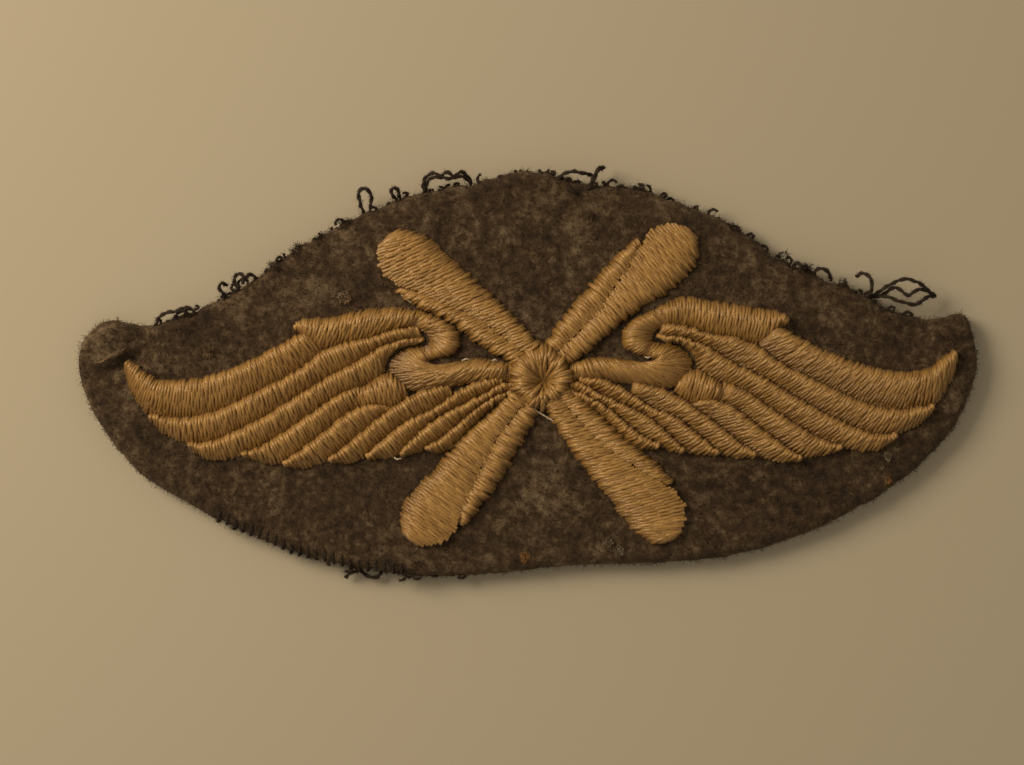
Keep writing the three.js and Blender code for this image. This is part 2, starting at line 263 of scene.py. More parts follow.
def face_wear_and_shading(x, y):
    """How pale the face is: paler over the left fold, with cloudy rubbed patches, a painted
    highlight along the crease ridge, painted shadow in the groove below it, and painted shade over
    the lower right, away from the window.
    """
    wear = patch(x, y, (-49, 4.8), (2.6, 2.4), 0.55)
    # Painted highlight along the crease ridge, then painted shadow in the groove below it.
    wear += 0.9 * math.exp(-(crease_side(x, y) / 0.28) ** 2 - ((x + 47.5) / 1.9) ** 2)
    wear -= 0.5 * math.exp(-((crease_side(x, y) + 1.2) / 0.7) ** 2 - ((x + 46.5) / 2.4) ** 2)
    wear += patch(x, y, (-6, 16.5), (3.4, 1.8), 0.3) + patch(x, y, (4.5, 17), (1.8, 3.2), 0.35)
    wear += patch(x, y, (0.5, -13.5), (3.5, 4), 0.3) + patch(x, y, (9.5, -17.5), (2.6, 1.3), 0.3)
    # The last patch is painted shade: darker over the lower right, away from the window.
    wear += patch(x, y, (-27, 8.4), (7, 2.2), 0.25) - patch(x, y, (35, -12), (14, 7), 0.25)
    return wear


rings = []
for ring_number in range(face_rings, 0, -1):
    inset = face_reach * ring_number / face_rings
    rings.append([(x, y, face_z + face_relief(x, y)) for x, y, z in shrunk_at(inset, 0)])
for turn in range(fold_turns + 1):
    angle = math.pi / 2 - math.pi * turn / fold_turns
    inset = fold_depth * (1 - math.cos(angle))
    height = face_z / 2 * (1 + math.sin(angle))
    lumps = max(0.0, 1 - turn / 3)
    rings.append([(x, y, z + lumps * face_relief(x, y)) for x, y, z in ring_at(inset, height)])
hem_reach = hem_width - fold_depth
rings += [shrunk_at(hem_reach * share, 0.0) for share in (0.35, 0.7, 1)]
rings += [shrunk_at(inset, height) for inset, height in (
    (hem_reach + 0.2, hem_thickness * 0.5), (hem_reach, hem_thickness - 0.05),
    (0.8, hem_thickness - 0.02), (0.8, hem_thickness + 0.02))]
rings += [shrunk_at(inset, hem_thickness) for inset in (4, 8, 13, 18, face_reach)]

cloth_mesh = bpy.data.meshes.new("wool_cloth")
shell = bmesh.new()
ring_verts = [[shell.verts.new(placed(*point)) for point in ring] for ring in rings]
for upper, lower in zip(ring_verts, ring_verts[1:]):
    for i in range(edge_samples):
        j = (i + 1) % edge_samples
        shell.faces.new((upper[i], lower[i], lower[j], upper[j]))
shell.faces.new(ring_verts[0])
shell.faces.new(list(reversed(ring_verts[-1])))
bmesh.ops.triangulate(shell, faces=[face for face in shell.faces if len(face.verts) > 4])
for face in shell.faces:
    face.smooth = True
shell.to_mesh(cloth_mesh)
shell.free()
wear_and_shading_values = [face_wear_and_shading(x, y) for ring in rings for x, y, z in ring]
cloth_mesh.attributes.new("wear", "FLOAT", "POINT").data.foreach_set("value", wear_and_shading_values)
wool_cloth = linked("wool_cloth", cloth_mesh)

# Melton wool, milled and cropped: it scatters light softly and has no gloss, only the pale bloom
# of its loose fibres. The brown-grey is a mix of dyed fibres, so it is cloudy at 5 mm and 1 mm.
wool, tree, shader = new_material("melton_wool_milled")
position = add_node(tree, "ShaderNodeTexCoord")
clouds = add_node(
    tree, "ShaderNodeTexNoise", {"Vector": (position, "Object"), "Scale": 260.0, "Detail": 3.0,
    "Roughness": 0.6, "Distortion": 0.3})
tufts = add_node(
    tree, "ShaderNodeTexNoise", {"Vector": (position, "Object"), "Scale": 1000.0, "Detail": 4.0,
    "Roughness": 0.75})
both = add_node(tree, "ShaderNodeMix", 0.64, {2: (clouds, "Fac"), 3: (tufts, "Fac")})
# The face's paleness comes in here: rubbed patches, with a painted highlight along the crease, painted shadow below
# it and painted shade over the lower right.
wear = add_node(tree, "ShaderNodeAttribute", attribute_name="wear")
rubbed_and_shaded = add_node(tree, maths, (wear, "Fac"), 0.13, both, operation="MULTIPLY_ADD")
shades = add_node(tree, "ShaderNodeValToRGB", {"Fac": rubbed_and_shaded})
ramp = shades.color_ramp
ramp.elements[0].position = 0.37
ramp.elements[0].color = colour(0x21170D)
ramp.elements[1].position = 0.68
ramp.elements[1].color = colour(0x6F5C42)
middle = ramp.elements.new(0.51)
middle.color = colour(0x41301D)
grain = add_node(
    tree, "ShaderNodeTexNoise", {"Vector": (position, "Object"), "Scale": 2600.0, "Detail": 3.0})
relief = add_node(
    tree, "ShaderNodeBump", {"Height": (grain, "Fac"), "Strength": 0.6, "Distance": 0.0003})
set_inputs(tree, shader, {
    "Base Color": (shades, "Color"), "Normal": relief, "Roughness": 0.95,
    "Specular IOR Level": 0.2, "Sheen Weight": 0.25, "Sheen Roughness": 0.6,
    "Sheen Tint": colour(0xB09A78)})
cloth_mesh.materials.append(wool)
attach(wool_cloth, "root")
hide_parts("base_cloth")


# ---- the nap of the cloth
# Loose wool fibres stand and curl on the face and the fold. They are 0.03 mm thick on real
# melton, and are drawn a little coarser so that they show.
def new_tree(name, sockets):
    """A geometry tree with a Geometry input, the named inputs, and a Geometry output."""
    made = bpy.data.node_groups.new(name, "GeometryNodeTree")
    made.interface.new_socket("Geometry", in_out="INPUT", socket_type="NodeSocketGeometry")
    for socket_name, kind in sockets.items():
        made.interface.new_socket(socket_name, in_out="INPUT", socket_type="NodeSocket" + kind)
    made.interface.new_socket("Geometry", in_out="OUTPUT", socket_type="NodeSocketGeometry")
    return made


def grown(name, source, tree, values):
    """Runs a geometry tree on a source object and returns its result as a plain mesh object."""
    modifier = source.modifiers.new(tree.name, "NODES")
    modifier.node_group = tree
    for item in tree.interface.items_tree:
        if item.in_out == "INPUT" and item.name in values:
            modifier[item.identifier] = values[item.name]
    bpy.context.view_layer.update()
    evaluated = source.evaluated_get(bpy.context.evaluated_depsgraph_get())
    mesh = bpy.data.meshes.new_from_object(evaluated)
    source.modifiers.remove(modifier)
    mesh.name = name
    return linked(name, mesh)


nap_tree = new_tree("nap", {"Density": "Float", "Length": "Float", "Thickness": "Float",
                            "Points": "Int", "Curl": "Float", "Tilt": "Float", "Seed": "Int",
                            "Dark": "Material", "Pale": "Material", "Pale Share": "Float"})
node = partial(add_node, nap_tree)
given = node("NodeGroupInput")
normal = node("GeometryNodeInputNormal")
up = node("ShaderNodeSeparateXYZ", normal)
outside = node("FunctionNodeCompare", (up, "Z"), -0.5, operation="GREATER_THAN")
sites = node(
    "GeometryNodeDistributePointsOnFaces", {"Mesh": (given, "Geometry"), "Selection": outside,
    "Density": (given, "Density"), "Seed": (given, "Seed")})
reach = node("ShaderNodeCombineXYZ", {"X": (given, "Length")})
straight = node("GeometryNodeCurvePrimitiveLine", {"End": reach})
fibre = node("GeometryNodeResampleCurve", {"Curve": straight, "Count": (given, "Points")})
lift = node(maths, (given, "Tilt"), -1.0, operation="MULTIPLY")
turn_low = node("ShaderNodeCombineXYZ", {"Y": lift})
turn_high = node("ShaderNodeCombineXYZ", {"Z": 2 * math.pi})
turns = node(
    "FunctionNodeRandomValue", turn_low, turn_high, {"Seed": (given, "Seed")},
    data_type="FLOAT_VECTOR")
combed = node("FunctionNodeRotateRotation", (sites, "Rotation"), turns, rotation_space="LOCAL")
sizes = node("FunctionNodeRandomValue", {2: 0.45, 3: 1.0, "Seed": 5}, data_type="FLOAT")
patches = node("ShaderNodeTexNoise", {"Scale": 230.0, "Detail": 3.0, "Roughness": 0.6})
tone_low = node(maths, (patches, "Fac"), 2.0, -0.8, operation="MULTIPLY_ADD")
tone_high = node(maths, tone_low, 0.6, operation="ADD")
tone = node("FunctionNodeRandomValue", {2: tone_low, 3: tone_high, "Seed": 17}, data_type="FLOAT")
toned = node(
    "GeometryNodeStoreNamedAttribute", {"Geometry": sites, "Name": "tone", "Value": (tone, 1)},
    data_type="FLOAT", domain="POINT")
rooted = node(
    "GeometryNodeInstanceOnPoints", {"Points": toned, "Instance": fibre, "Rotation": combed,
    "Scale": (sizes, 1)})
loose = node("GeometryNodeRealizeInstances", rooted)
swirl = node("ShaderNodeTexNoise", {"Scale": 1100.0, "Detail": 1.0})
centred = node(vector_maths, (swirl, "Color"), (0.5, 0.5, 0.42), operation="SUBTRACT")
along = node("GeometryNodeSplineParameter")
free_end = node(maths, (along, "Factor"), (given, "Curl"), operation="MULTIPLY")
bend = node(vector_maths, centred, {"Scale": free_end}, operation="SCALE")
curled = node("GeometryNodeSetPosition", {"Geometry": loose, "Offset": bend})
bent_place = node("GeometryNodeInputPosition")
above_table = node(vector_maths, bent_place, (-1, -1, 0.05 * MM), operation="MAXIMUM")
rested = node("GeometryNodeSetPosition", {"Geometry": curled, "Position": above_table})
section = node(
    "GeometryNodeCurvePrimitiveCircle", {"Resolution": 3, "Radius": (given, "Thickness")})
hairs = node(
    "GeometryNodeCurveToMesh", {"Curve": rested, "Profile Curve": section, "Fill Caps": True})
dark_hairs = node("GeometryNodeSetMaterial", {"Geometry": hairs, "Material": (given, "Dark")})
own_tone = node("GeometryNodeInputNamedAttribute", {"Name": "tone"}, data_type="FLOAT")
is_pale = node("FunctionNodeCompare", own_tone, (given, "Pale Share"), operation="LESS_THAN")
pale_hairs = node(
    "GeometryNodeSetMaterial", {"Geometry": dark_hairs, "Selection": is_pale,
    "Material": (given, "Pale")})
node("NodeGroupOutput", {"Geometry": pale_hairs})


def fibre_material(name, hex_value):
    """A single wool fibre: matte, in one dye colour."""
    made, its_tree, its_shader = new_material(name)
    set_inputs(its_tree, its_shader, {
        "Base Color": colour(hex_value), "Roughness": 0.8, "Specular IOR Level": 0.25})
    made.diffuse_color = colour(hex_value)
    return made


wool_dark = fibre_material("wool_fibre_dark", 0x2C2013)
wool_brown = fibre_material("wool_fibre_brown", 0x3D2D1B)
wool_pale = fibre_material("wool_fibre_pale", 0x5E4A32)
for name, density, length, thickness, points, tilt, seed, dark, pale, share in (
    ("nap_short_dark", 2.4, 0.5, 0.026, 3, 1.15, 3, wool_dark, wool_brown, 0.45),
    ("nap_short_pale", 2.4, 0.5, 0.024, 3, 1.1, 5, wool_brown, wool_pale, 0.35),
    ("nap_long", 0.8, 1.0, 0.015, 6, 0.9, 8, wool_brown, wool_pale, 0.35),
):
    nap = grown(name, wool_cloth, nap_tree, {
        "Density": density / MM ** 2, "Length": length * MM, "Thickness": thickness * MM,
        "Points": points, "Curl": 1.4 * length * MM, "Tilt": tilt, "Seed": seed, "Dark": dark,
        "Pale": pale, "Pale Share": share})
    ride_in(nap)


# ---- the tacking threads
# The badge was once sewn to a coat and cut off again. Loops and tails of the dark two-ply thread
# stand out of the fold, curls of it are felted into the edge, and it overcasts the lower left.
def finished_tubes(node, given, curves, sides, radius):
    """Gives curves a round section: the bare tubes, and the same ones smooth and coloured."""
    section = node("GeometryNodeCurvePrimitiveCircle", {"Resolution": sides, "Radius": radius})
    bare = node("GeometryNodeCurveToMesh",
                {"Curve": curves, "Profile Curve": section, "Fill Caps": True})
    solid = node("GeometryNodeRealizeInstances", bare)
    smoothed = node("GeometryNodeSetShadeSmooth", {"Geometry": solid})
    return bare, node("GeometryNodeSetMaterial",
                      {"Geometry": smoothed, "Material": (given, "Material")})


# How far a ply lies off the thread's middle and how thick it is, as shares of the thread's width.
spun_ply_offset, spun_ply_radius = 0.19, 0.28
thread_tree = new_tree("two_ply_thread", {
    "Step": "Float", "Thread": "Float", "Twist": "Float", "Wander": "Float", "Fuzz": "Float",
    "Fuzz Length": "Float", "Material": "Material"})
node = partial(add_node, thread_tree)
given = node("NodeGroupInput")
even_steps = node(
    "GeometryNodeResampleCurve", {"Curve": (given, "Geometry"), "Length": (given, "Step")},
    mode="LENGTH")
doubled = node(
    "GeometryNodeDuplicateElements", {"Geometry": even_steps, "Amount": 2}, domain="SPLINE")
along = node("GeometryNodeSplineParameter")
windings = node(maths, (along, "Length"), (given, "Twist"), operation="DIVIDE")
ply_turn = node(maths, (doubled, "Duplicate Index"), 0.5, windings, operation="MULTIPLY_ADD")
turned = node(maths, ply_turn, 2 * math.pi, operation="MULTIPLY")
cosine = node(maths, turned, operation="COSINE")
sine = node(maths, turned, operation="SINE")
normal = node("GeometryNodeInputNormal")
tangent = node("GeometryNodeInputTangent")
square_to_both = node(vector_maths, tangent, normal, operation="CROSS_PRODUCT")
one_way = node(vector_maths, normal, {"Scale": cosine}, operation="SCALE")
other_way = node(vector_maths, square_to_both, {"Scale": sine}, operation="SCALE")
round_it = node(vector_maths, one_way, other_way, operation="ADD")
ply_offset = node(maths, (given, "Thread"), spun_ply_offset, operation="MULTIPLY")
wound = node(vector_maths, round_it, {"Scale": ply_offset}, operation="SCALE")
kinks = node("ShaderNodeTexNoise", {"Scale": 900.0, "Detail": 1.0})
centred = node(vector_maths, (kinks, "Color"), (0.5, 0.5, 0.5), operation="SUBTRACT")
wandered = node(vector_maths, centred, {"Scale": (given, "Wander")}, operation="SCALE")
shifted = node(vector_maths, wound, wandered, operation="ADD")
plied = node("GeometryNodeSetPosition", {"Geometry": (doubled, "Geometry"), "Offset": shifted})
ply_radius = node(maths, (given, "Thread"), spun_ply_radius, operation="MULTIPLY")
tubes, coloured = finished_tubes(node, given, plied, 6, ply_radius)
fuzz = node(
    "GeometryNodeGroup", {"Geometry": tubes, "Density": (given, "Fuzz"),
    "Length": (given, "Fuzz Length"), "Thickness": 0.014 * MM, "Points": 5,
    "Curl": (given, "Fuzz Length"), "Tilt": 0.9, "Seed": 21, "Pale Share": -1.0,
    "Dark": (given, "Material")}, node_tree=nap_tree)
both = node("GeometryNodeJoinGeometry")
for part in (coloured, fuzz):
    set_inputs(thread_tree, both, {0: part})
node("NodeGroupOutput", {"Geometry": both})


def curve_of(name, lines, closed=False):
    """A curve object out of straight-segment lines of (x, y, z) points."""
    data = bpy.data.curves.new(name, "CURVE")
    data.dimensions = "3D"
    for line in lines:
        spline = data.splines.new("POLY")
        spline.points.add(len(line) - 1)
        for knot, point in zip(spline.points, line):
            knot.co = (*placed(*point), 1)
        spline.use_cyclic_u = closed
    return linked(name, data)


def thread_runs(name, paths, material, thread=0.5, twist=2.1, wander=0.35, fuzz=22.0,
                fuzz_length=0.4, step=0.16):
    """Spins paths of points into one piece of two-ply thread with its loose fibres."""
    source = curve_of("thread_path", [smooth_line(path, steps=6) for path in paths])
    piece = grown(name, source, thread_tree, {
        "Step": step * MM, "Thread": thread * MM, "Twist": twist * MM, "Wander": wander * MM,
        "Fuzz": fuzz / MM ** 2, "Fuzz Length": fuzz_length * MM, "Material": material})
    bpy.data.objects.remove(source)
    ride_in(piece)
    return piece


def arched(path, low, high):
    """A flat path lifted into an arch, low at both ends and high in its middle."""
    last = len(path) - 1
    return [(x, y, low + (high - low) * math.sin(math.pi * i / last))
            for i, (x, y) in enumerate(path)]


# Spun wool and cotton thread, dyed dark brown and dry with age, so it has next to no shine.
tacking = fibre_material("tacking_thread_dark", 0x33271A)
tacking_loops = {
    "left_end": [
        [(-42.9, 6.1), (-42.4, 6.9), (-41.4, 7.6), (-40.3, 7.7), (-39.3, 8.1), (-38.6, 8),
         (-38.2, 7.4), (-38, 6.6)],
        [(-40.8, 6.6), (-40.3, 7.4), (-39.5, 7.7), (-38.9, 7.2), (-38.7, 6.6)]],
    "upper_left_low": [
        [(-34.6, 8.9), (-35.1, 9.7), (-35.5, 10.3), (-35.2, 10.8), (-34.8, 10.6)],
        [(-33.4, 10.2), (-33.9, 10.9), (-33.7, 11.6), (-33.1, 11.8), (-32.7, 11.3),
         (-32.9, 10.8), (-32.5, 11.4), (-32, 11.8), (-31.5, 11.4), (-31.3, 10.9)]],
    "upper_left": [
        [(-19.5, 18.4), (-19.8, 19.6), (-19.9, 20.6), (-19.4, 21.1), (-18.8, 20.9),
         (-18.6, 20.1), (-18.7, 19)],
        [(-15.6, 19.7), (-16.2, 20.3), (-16.4, 20.9), (-15.9, 21.1), (-15.5, 20.7),
         (-15.5, 20.2)]],
    "top_left": [
        [(-12.7, 20.4), (-12.8, 21.4), (-12.4, 22.4), (-11.6, 22.7), (-10.8, 22.4),
         (-10.1, 22.8), (-9.4, 22.3), (-8.7, 22.8), (-8.1, 22.6), (-7.6, 21.7)],
        [(-12.6, 20.8), (-12.2, 22), (-11.2, 22.3), (-9.8, 22.1), (-8.5, 22.3), (-7.5, 21.5)]],
    "top_right": [
        [(1.8, 21.6), (2.6, 22.4), (3.8, 22.7), (5, 22.5), (6.1, 22.3)],
        [(7.3, 23.3), (6.7, 23), (6.3, 22.2), (5.9, 21.4), (5.3, 20.7), (4.6, 20.1)],
        [(7, 23.1), (6.5, 22.7), (6, 22), (5.7, 21.1), (5, 20.6)],
        [(3.2, 21.4), (3.4, 20.8), (4.1, 20.4), (4.8, 20)]],
    "upper_right_low": [
        [(30.3, 10.4), (30.5, 11.4), (31.3, 11.6), (32, 11.1), (32.5, 10.4)],
        [(28.1, 11.4), (28.3, 12.2), (28.8, 12.1), (29.1, 11.5), (29.5, 11.9), (29.8, 11.2)],
        [(35.2, 10.7), (35.7, 11.1), (36.3, 10.8), (36.7, 10.1), (36.7, 9.2), (36.3, 8.5),
         (35.6, 8)]],
    "right_long": [
        [(35.6, 8.4), (37.2, 8.7), (38.1, 9.4), (39.2, 10), (40.5, 10.3), (41.8, 10),
         (42.7, 9.3), (43.4, 8.7), (44, 8.5)],
        [(36.4, 8.4), (37.8, 8.5), (38.8, 8.3), (39.8, 7.9), (41, 7.5), (42, 7.7), (42.9, 8.3),
         (43.8, 8.4)],
        [(37.4, 8.4), (38.5, 8.9), (39.2, 9.4), (40, 9.1), (40.7, 8.6), (41.5, 9), (42.3, 9.2),
         (43.1, 8.9), (43.7, 8.6)]],
    "bottom_left": [
        [(-22.1, -22.1), (-21.5, -21.5), (-20.8, -21.4), (-20.3, -20.9), (-19.6, -20.7)],
        [(-20.4, -21.2), (-19.6, -21.9), (-18.7, -22.1), (-18.1, -21.7), (-17.9, -21.1)]],
}
for place, paths in tacking_loops.items():
    low, high = (1.0, 1.3) if place == "bottom_left" else (1.7, 3.2)
    loop = thread_runs(f"tacking_thread_{place}", [arched(path, low, high) for path in paths],
                       tacking)
    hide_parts(f"tacking_loop_{place}")

# Broken ends of the same thread, curled and felted into the tacked upper edge.
chance = random.Random(11)
curl_paths = []
for i in range(0, edge_samples, 2):
    x, y = edge_line[i]
    on_top = y > 6.2 and -44 < x < 45
    below = y < -14 and -30 < x < -8
    if not (on_top or below) or chance.random() > (0.7 if on_top else 0.35):
        continue
    run = edge_run(i)
    outward = Vector((run.y, -run.x))
    size = chance.uniform(0.25, 0.55)
    middle = edge_line[i] + outward * chance.uniform(-0.6, 0.05 if below else 0.25)
    low = chance.uniform(1.2, 2.4)
    start, turn = chance.uniform(0, 6.28), chance.uniform(3.2, 6.0)
    squeeze, climb = chance.uniform(0.6, 1), chance.uniform(-0.5, 0.5)
    curl_paths.append([
        (middle.x + size * math.cos(start + turn * t / 7), middle.y + size * squeeze
         * math.sin(start + turn * t / 7), low + climb * t / 7) for t in range(8)])
edge_curls = thread_runs("edge_curls", curl_paths, tacking, thread=0.4, twist=1.1,
                         wander=0.4, fuzz=20.0, fuzz_length=0.5)


def fibre_ball(name, radius, shape, values):
    """A piece of loose fibres grown on a small ball, whose points a function puts in place."""
    ball = bmesh.new()
    bmesh.ops.create_icosphere(ball, subdivisions=2, radius=radius * MM)
    for vert in ball.verts:
        vert.co = shape(vert.co)
    core_mesh = bpy.data.meshes.new("core")
    ball.to_mesh(core_mesh)
    ball.free()
    core = linked("core", core_mesh)
    ride_in(grown(name, core, nap_tree, values))
    bpy.data.objects.remove(core)


# Each lump of the edge carries a tuft of its own wool, felted into a clump.
for place, (x, y, radius) in enumerate(edge_lumps):
    fibre_ball(
        f"edge_tuft_{place + 1}", radius * 0.7,
        lambda co: placed(x - 0.1, y + 0.3, 2.2) + co * (1 + 0.4 * noise.noise(co * 1500)),
        {"Density": 60 / MM ** 2, "Length": 0.6 * MM, "Thickness": 0.022 * MM, "Points": 5,
         "Curl": 1.1 * MM, "Tilt": 1.25, "Seed": 40 + place, "Dark": wool_dark, "Pale": wool_brown,
         "Pale Share": 0.4})

# Overcasting at the lower left: short stitches that wrap the fold, about 0.65 mm apart.
overcast_paths = []
for i in range(edge_samples):
    x, y = edge_line[i]
    if y > -13 or not -37 < x < -15 or i % 2:
        continue
    run = edge_run(i)
    around = ((1.1, face_z - 0.12), (0.6, face_z - 0.1), (0.0, 2.2), (-0.12, 1.4), (0.2, 0.5),
              (0.9, 0.14))
    overcast_paths.append([
        (x - run.y * (inset + edge_inset(i)) + run.x * 0.09 * inset_step,
         y + run.x * (inset + edge_inset(i)) + run.y * 0.09 * inset_step, z)
        for inset_step, (inset, z) in enumerate(around)])
overcasting = thread_runs("overcast_stitches", overcast_paths, tacking, thread=0.34,
                          twist=1.0, wander=0.15, fuzz=8.0, fuzz_length=0.6)


# ---- the satin stitch
# Two-ply golden thread is laid from one rail of a column to the other and back, side by side. It
# is drawn thicker than real thread's 0.4 mm, so that neighbours close up. Each ply is a strand.
satin_ply_offset, satin_ply_radius = 0.14, 0.37  # flatter and fuller than in the spun thread
place_jitter = 0.12  # how far a stitch may be off its place, as a share of the spacing
crown_mean, crown_spread = 0.97, 0.07
lowest_end = 0.35  # the height of a column's crown at its ends, as a share of its middle's
bow_reach = 0.08  # how far a thread bows sideways
satin_tree = new_tree("satin_stitch", {
    "Stitches": "Int", "Points": "Int", "Crown": "Float", "Fullness": "Float",
    "Ridge Power": "Float", "Start Lift": "Float", "End Lift": "Float", "Lean": "Float",
    "Overrun": "Float", "Taper": "Float", "Thread": "Float", "Twist": "Float", "Scatter": "Float",
    "Bloom": "Float", "Seed": "Int", "Material": "Material"})
node = partial(add_node, satin_tree)
given = node("NodeGroupInput")
strand_count = node(maths, (given, "Stitches"), (given, "Points"), operation="MULTIPLY")
point_count = node(maths, strand_count, 2.0, operation="MULTIPLY")
dots = node("GeometryNodePoints", {"Count": point_count})
index = node("GeometryNodeInputIndex")
strand_share = node(maths, index, (given, "Points"), operation="DIVIDE")
strand = node(maths, strand_share, operation="FLOOR")
step = node(maths, index, (given, "Points"), operation="MODULO")
stitch_share = node(maths, strand, 2.0, operation="DIVIDE")
stitch = node(maths, stitch_share, operation="FLOOR")
ply = node(maths, strand, 2.0, operation="MODULO")
last_step = node(maths, (given, "Points"), 1.0, operation="SUBTRACT")
across = node(maths, step, last_step, operation="DIVIDE")
chance = node(
    "FunctionNodeRandomValue", (-1, -1, -1), (1, 1, 1), {"ID": stitch, "Seed": (given, "Seed")},
    data_type="FLOAT_VECTOR")
chance_parts = node("ShaderNodeSeparateXYZ", chance)
other_seed = node(maths, (given, "Seed"), 71.0, operation="ADD")
more_chance = node(
    "FunctionNodeRandomValue", (-1, -1, 0), (1, 1, 1), {"ID": stitch, "Seed": other_seed},
    data_type="FLOAT_VECTOR")
more_parts = node("ShaderNodeSeparateXYZ", more_chance)

# Where on the rails a stitch goes: evenly along, a little irregular, and leaning.
counted = node(maths, (chance_parts, "X"), place_jitter, stitch, operation="MULTIPLY_ADD")
last_stitch = node(maths, (given, "Stitches"), 1.0, operation="SUBTRACT")
evenly_along = node(maths, counted, last_stitch, operation="DIVIDE")
back = node(maths, (given, "Overrun"), -1.0, operation="MULTIPLY")
first = node(maths, back, 0.0, operation="MINIMUM")
ahead = node(maths, 1.0, (given, "Overrun"), operation="SUBTRACT")
final = node(maths, ahead, 1.0, operation="MAXIMUM")
start_along = node(
    "ShaderNodeMapRange", {"Value": evenly_along, "To Min": first, "To Max": final}, clamp=False)
rail_a, opposite = (
    node("GeometryNodeSampleCurve", {"Curves": (given, "Geometry"), "Factor": start_along,
                                     "Curve Index": rail}, mode="FACTOR") for rail in (0, 1))
local_width = node(
    vector_maths, (rail_a, "Position"), (opposite, "Position"), operation="DISTANCE")
end_along = node(
    maths, (local_width, "Value"), (given, "Lean"), start_along, operation="MULTIPLY_ADD")
rail_b = node(
    "GeometryNodeSampleCurve", {"Curves": (given, "Geometry"), "Factor": end_along,
    "Curve Index": 1}, mode="FACTOR")
span = node(vector_maths, (rail_b, "Position"), (rail_a, "Position"), operation="SUBTRACT")
width = node(vector_maths, span, operation="LENGTH")
scatter_share = node(maths, (given, "Scatter"), (width, "Value"), operation="DIVIDE")
start_slip = node(maths, (chance_parts, "Y"), scatter_share, operation="MULTIPLY")
end_slip = node(maths, (chance_parts, "Z"), scatter_share, 1.0, operation="MULTIPLY_ADD")
slipped = node(
    "ShaderNodeMapRange", {"Value": across, "To Min": start_slip, "To Max": end_slip},
    clamp=False)
laid = node(vector_maths, span, slipped, (rail_a, "Position"), operation="MULTIPLY_ADD")

# The crown: a ridge near the first rail, falling away to where the thread dives into the cloth.
skewed = node(maths, across, (given, "Ridge Power"), operation="POWER")
from_middle = node(maths, skewed, 2.0, -1.0, operation="MULTIPLY_ADD")
off_middle = node(maths, from_middle, operation="ABSOLUTE")
fall = node(maths, off_middle, (given, "Fullness"), operation="POWER")
dome = node(maths, 1.0, fall, operation="SUBTRACT")
base_lift = node(
    "ShaderNodeMapRange", {"Value": across, "To Min": (given, "Start Lift"),
    "To Max": (given, "End Lift")})
lifted = node("ShaderNodeMapRange", {"Value": dome, "To Min": base_lift, "To Max": 1.0})
unevenness = node(maths, (more_parts, "Z"), crown_spread, crown_mean, operation="MULTIPLY_ADD")
from_other_end = node(maths, 1.0, evenly_along, operation="SUBTRACT")
from_end = node(maths, evenly_along, from_other_end, operation="MINIMUM")
end_height = node(
    "ShaderNodeMapRange", {"Value": from_end, "From Max": (given, "Taper"), "To Min": lowest_end,
    "To Max": 1.0}, interpolation_type="SMOOTHERSTEP")
uneven_crown = node(maths, (given, "Crown"), unevenness, operation="MULTIPLY")
crown = node(maths, uneven_crown, end_height, operation="MULTIPLY")
height = node(maths, lifted, crown, operation="MULTIPLY")

# The two plies wind round each other, and the whole thread bows a little sideways.
sideways = node(vector_maths, (0, 0, 1), span, operation="CROSS_PRODUCT")
side = node(vector_maths, sideways, operation="NORMALIZE")
run = node(maths, across, (width, "Value"), operation="MULTIPLY")
tightness = node(maths, (chance_parts, "X"), 0.25, 1.0, operation="MULTIPLY_ADD")
twist = node(maths, (given, "Twist"), tightness, operation="MULTIPLY")
windings = node(maths, run, twist, operation="DIVIDE")
ply_turn = node(maths, ply, 0.5, windings, operation="MULTIPLY_ADD")
phase = node(maths, (more_parts, "X"), 0.5, ply_turn, operation="MULTIPLY_ADD")
turned = node(maths, phase, 2 * math.pi, operation="MULTIPLY")
ply_offset = node(maths, (given, "Thread"), satin_ply_offset, operation="MULTIPLY")
cosine = node(maths, turned, operation="COSINE")
sine = node(maths, turned, operation="SINE")
half_turn = node(maths, across, math.pi, operation="MULTIPLY")
bow = node(maths, half_turn, operation="SINE")
bow_size = node(maths, (more_parts, "Y"), bow_reach * MM, operation="MULTIPLY")
bowed = node(maths, bow, bow_size, operation="MULTIPLY")
swing = node(maths, cosine, ply_offset, bowed, operation="MULTIPLY_ADD")
rise = node(maths, sine, ply_offset, height, operation="MULTIPLY_ADD")
sunk = node(maths, (given, "Thread"), 0.2, rise, operation="MULTIPLY_ADD")
side_step = node(vector_maths, side, swing, laid, operation="MULTIPLY_ADD")
raised = node("ShaderNodeCombineXYZ", {"Z": sunk})
stands = node(vector_maths, side_step, raised, operation="ADD")

shade_value = node(
    "FunctionNodeRandomValue", {2: 0.0, 3: 1.0, "ID": strand, "Seed": (given, "Seed")},
    data_type="FLOAT")
threaded = node("GeometryNodeSetPosition", {"Geometry": dots, "Position": stands})
shaded = node(
    "GeometryNodeStoreNamedAttribute", {"Geometry": threaded, "Name": "shade",
    "Value": (shade_value, 1)}, data_type="FLOAT", domain="POINT")
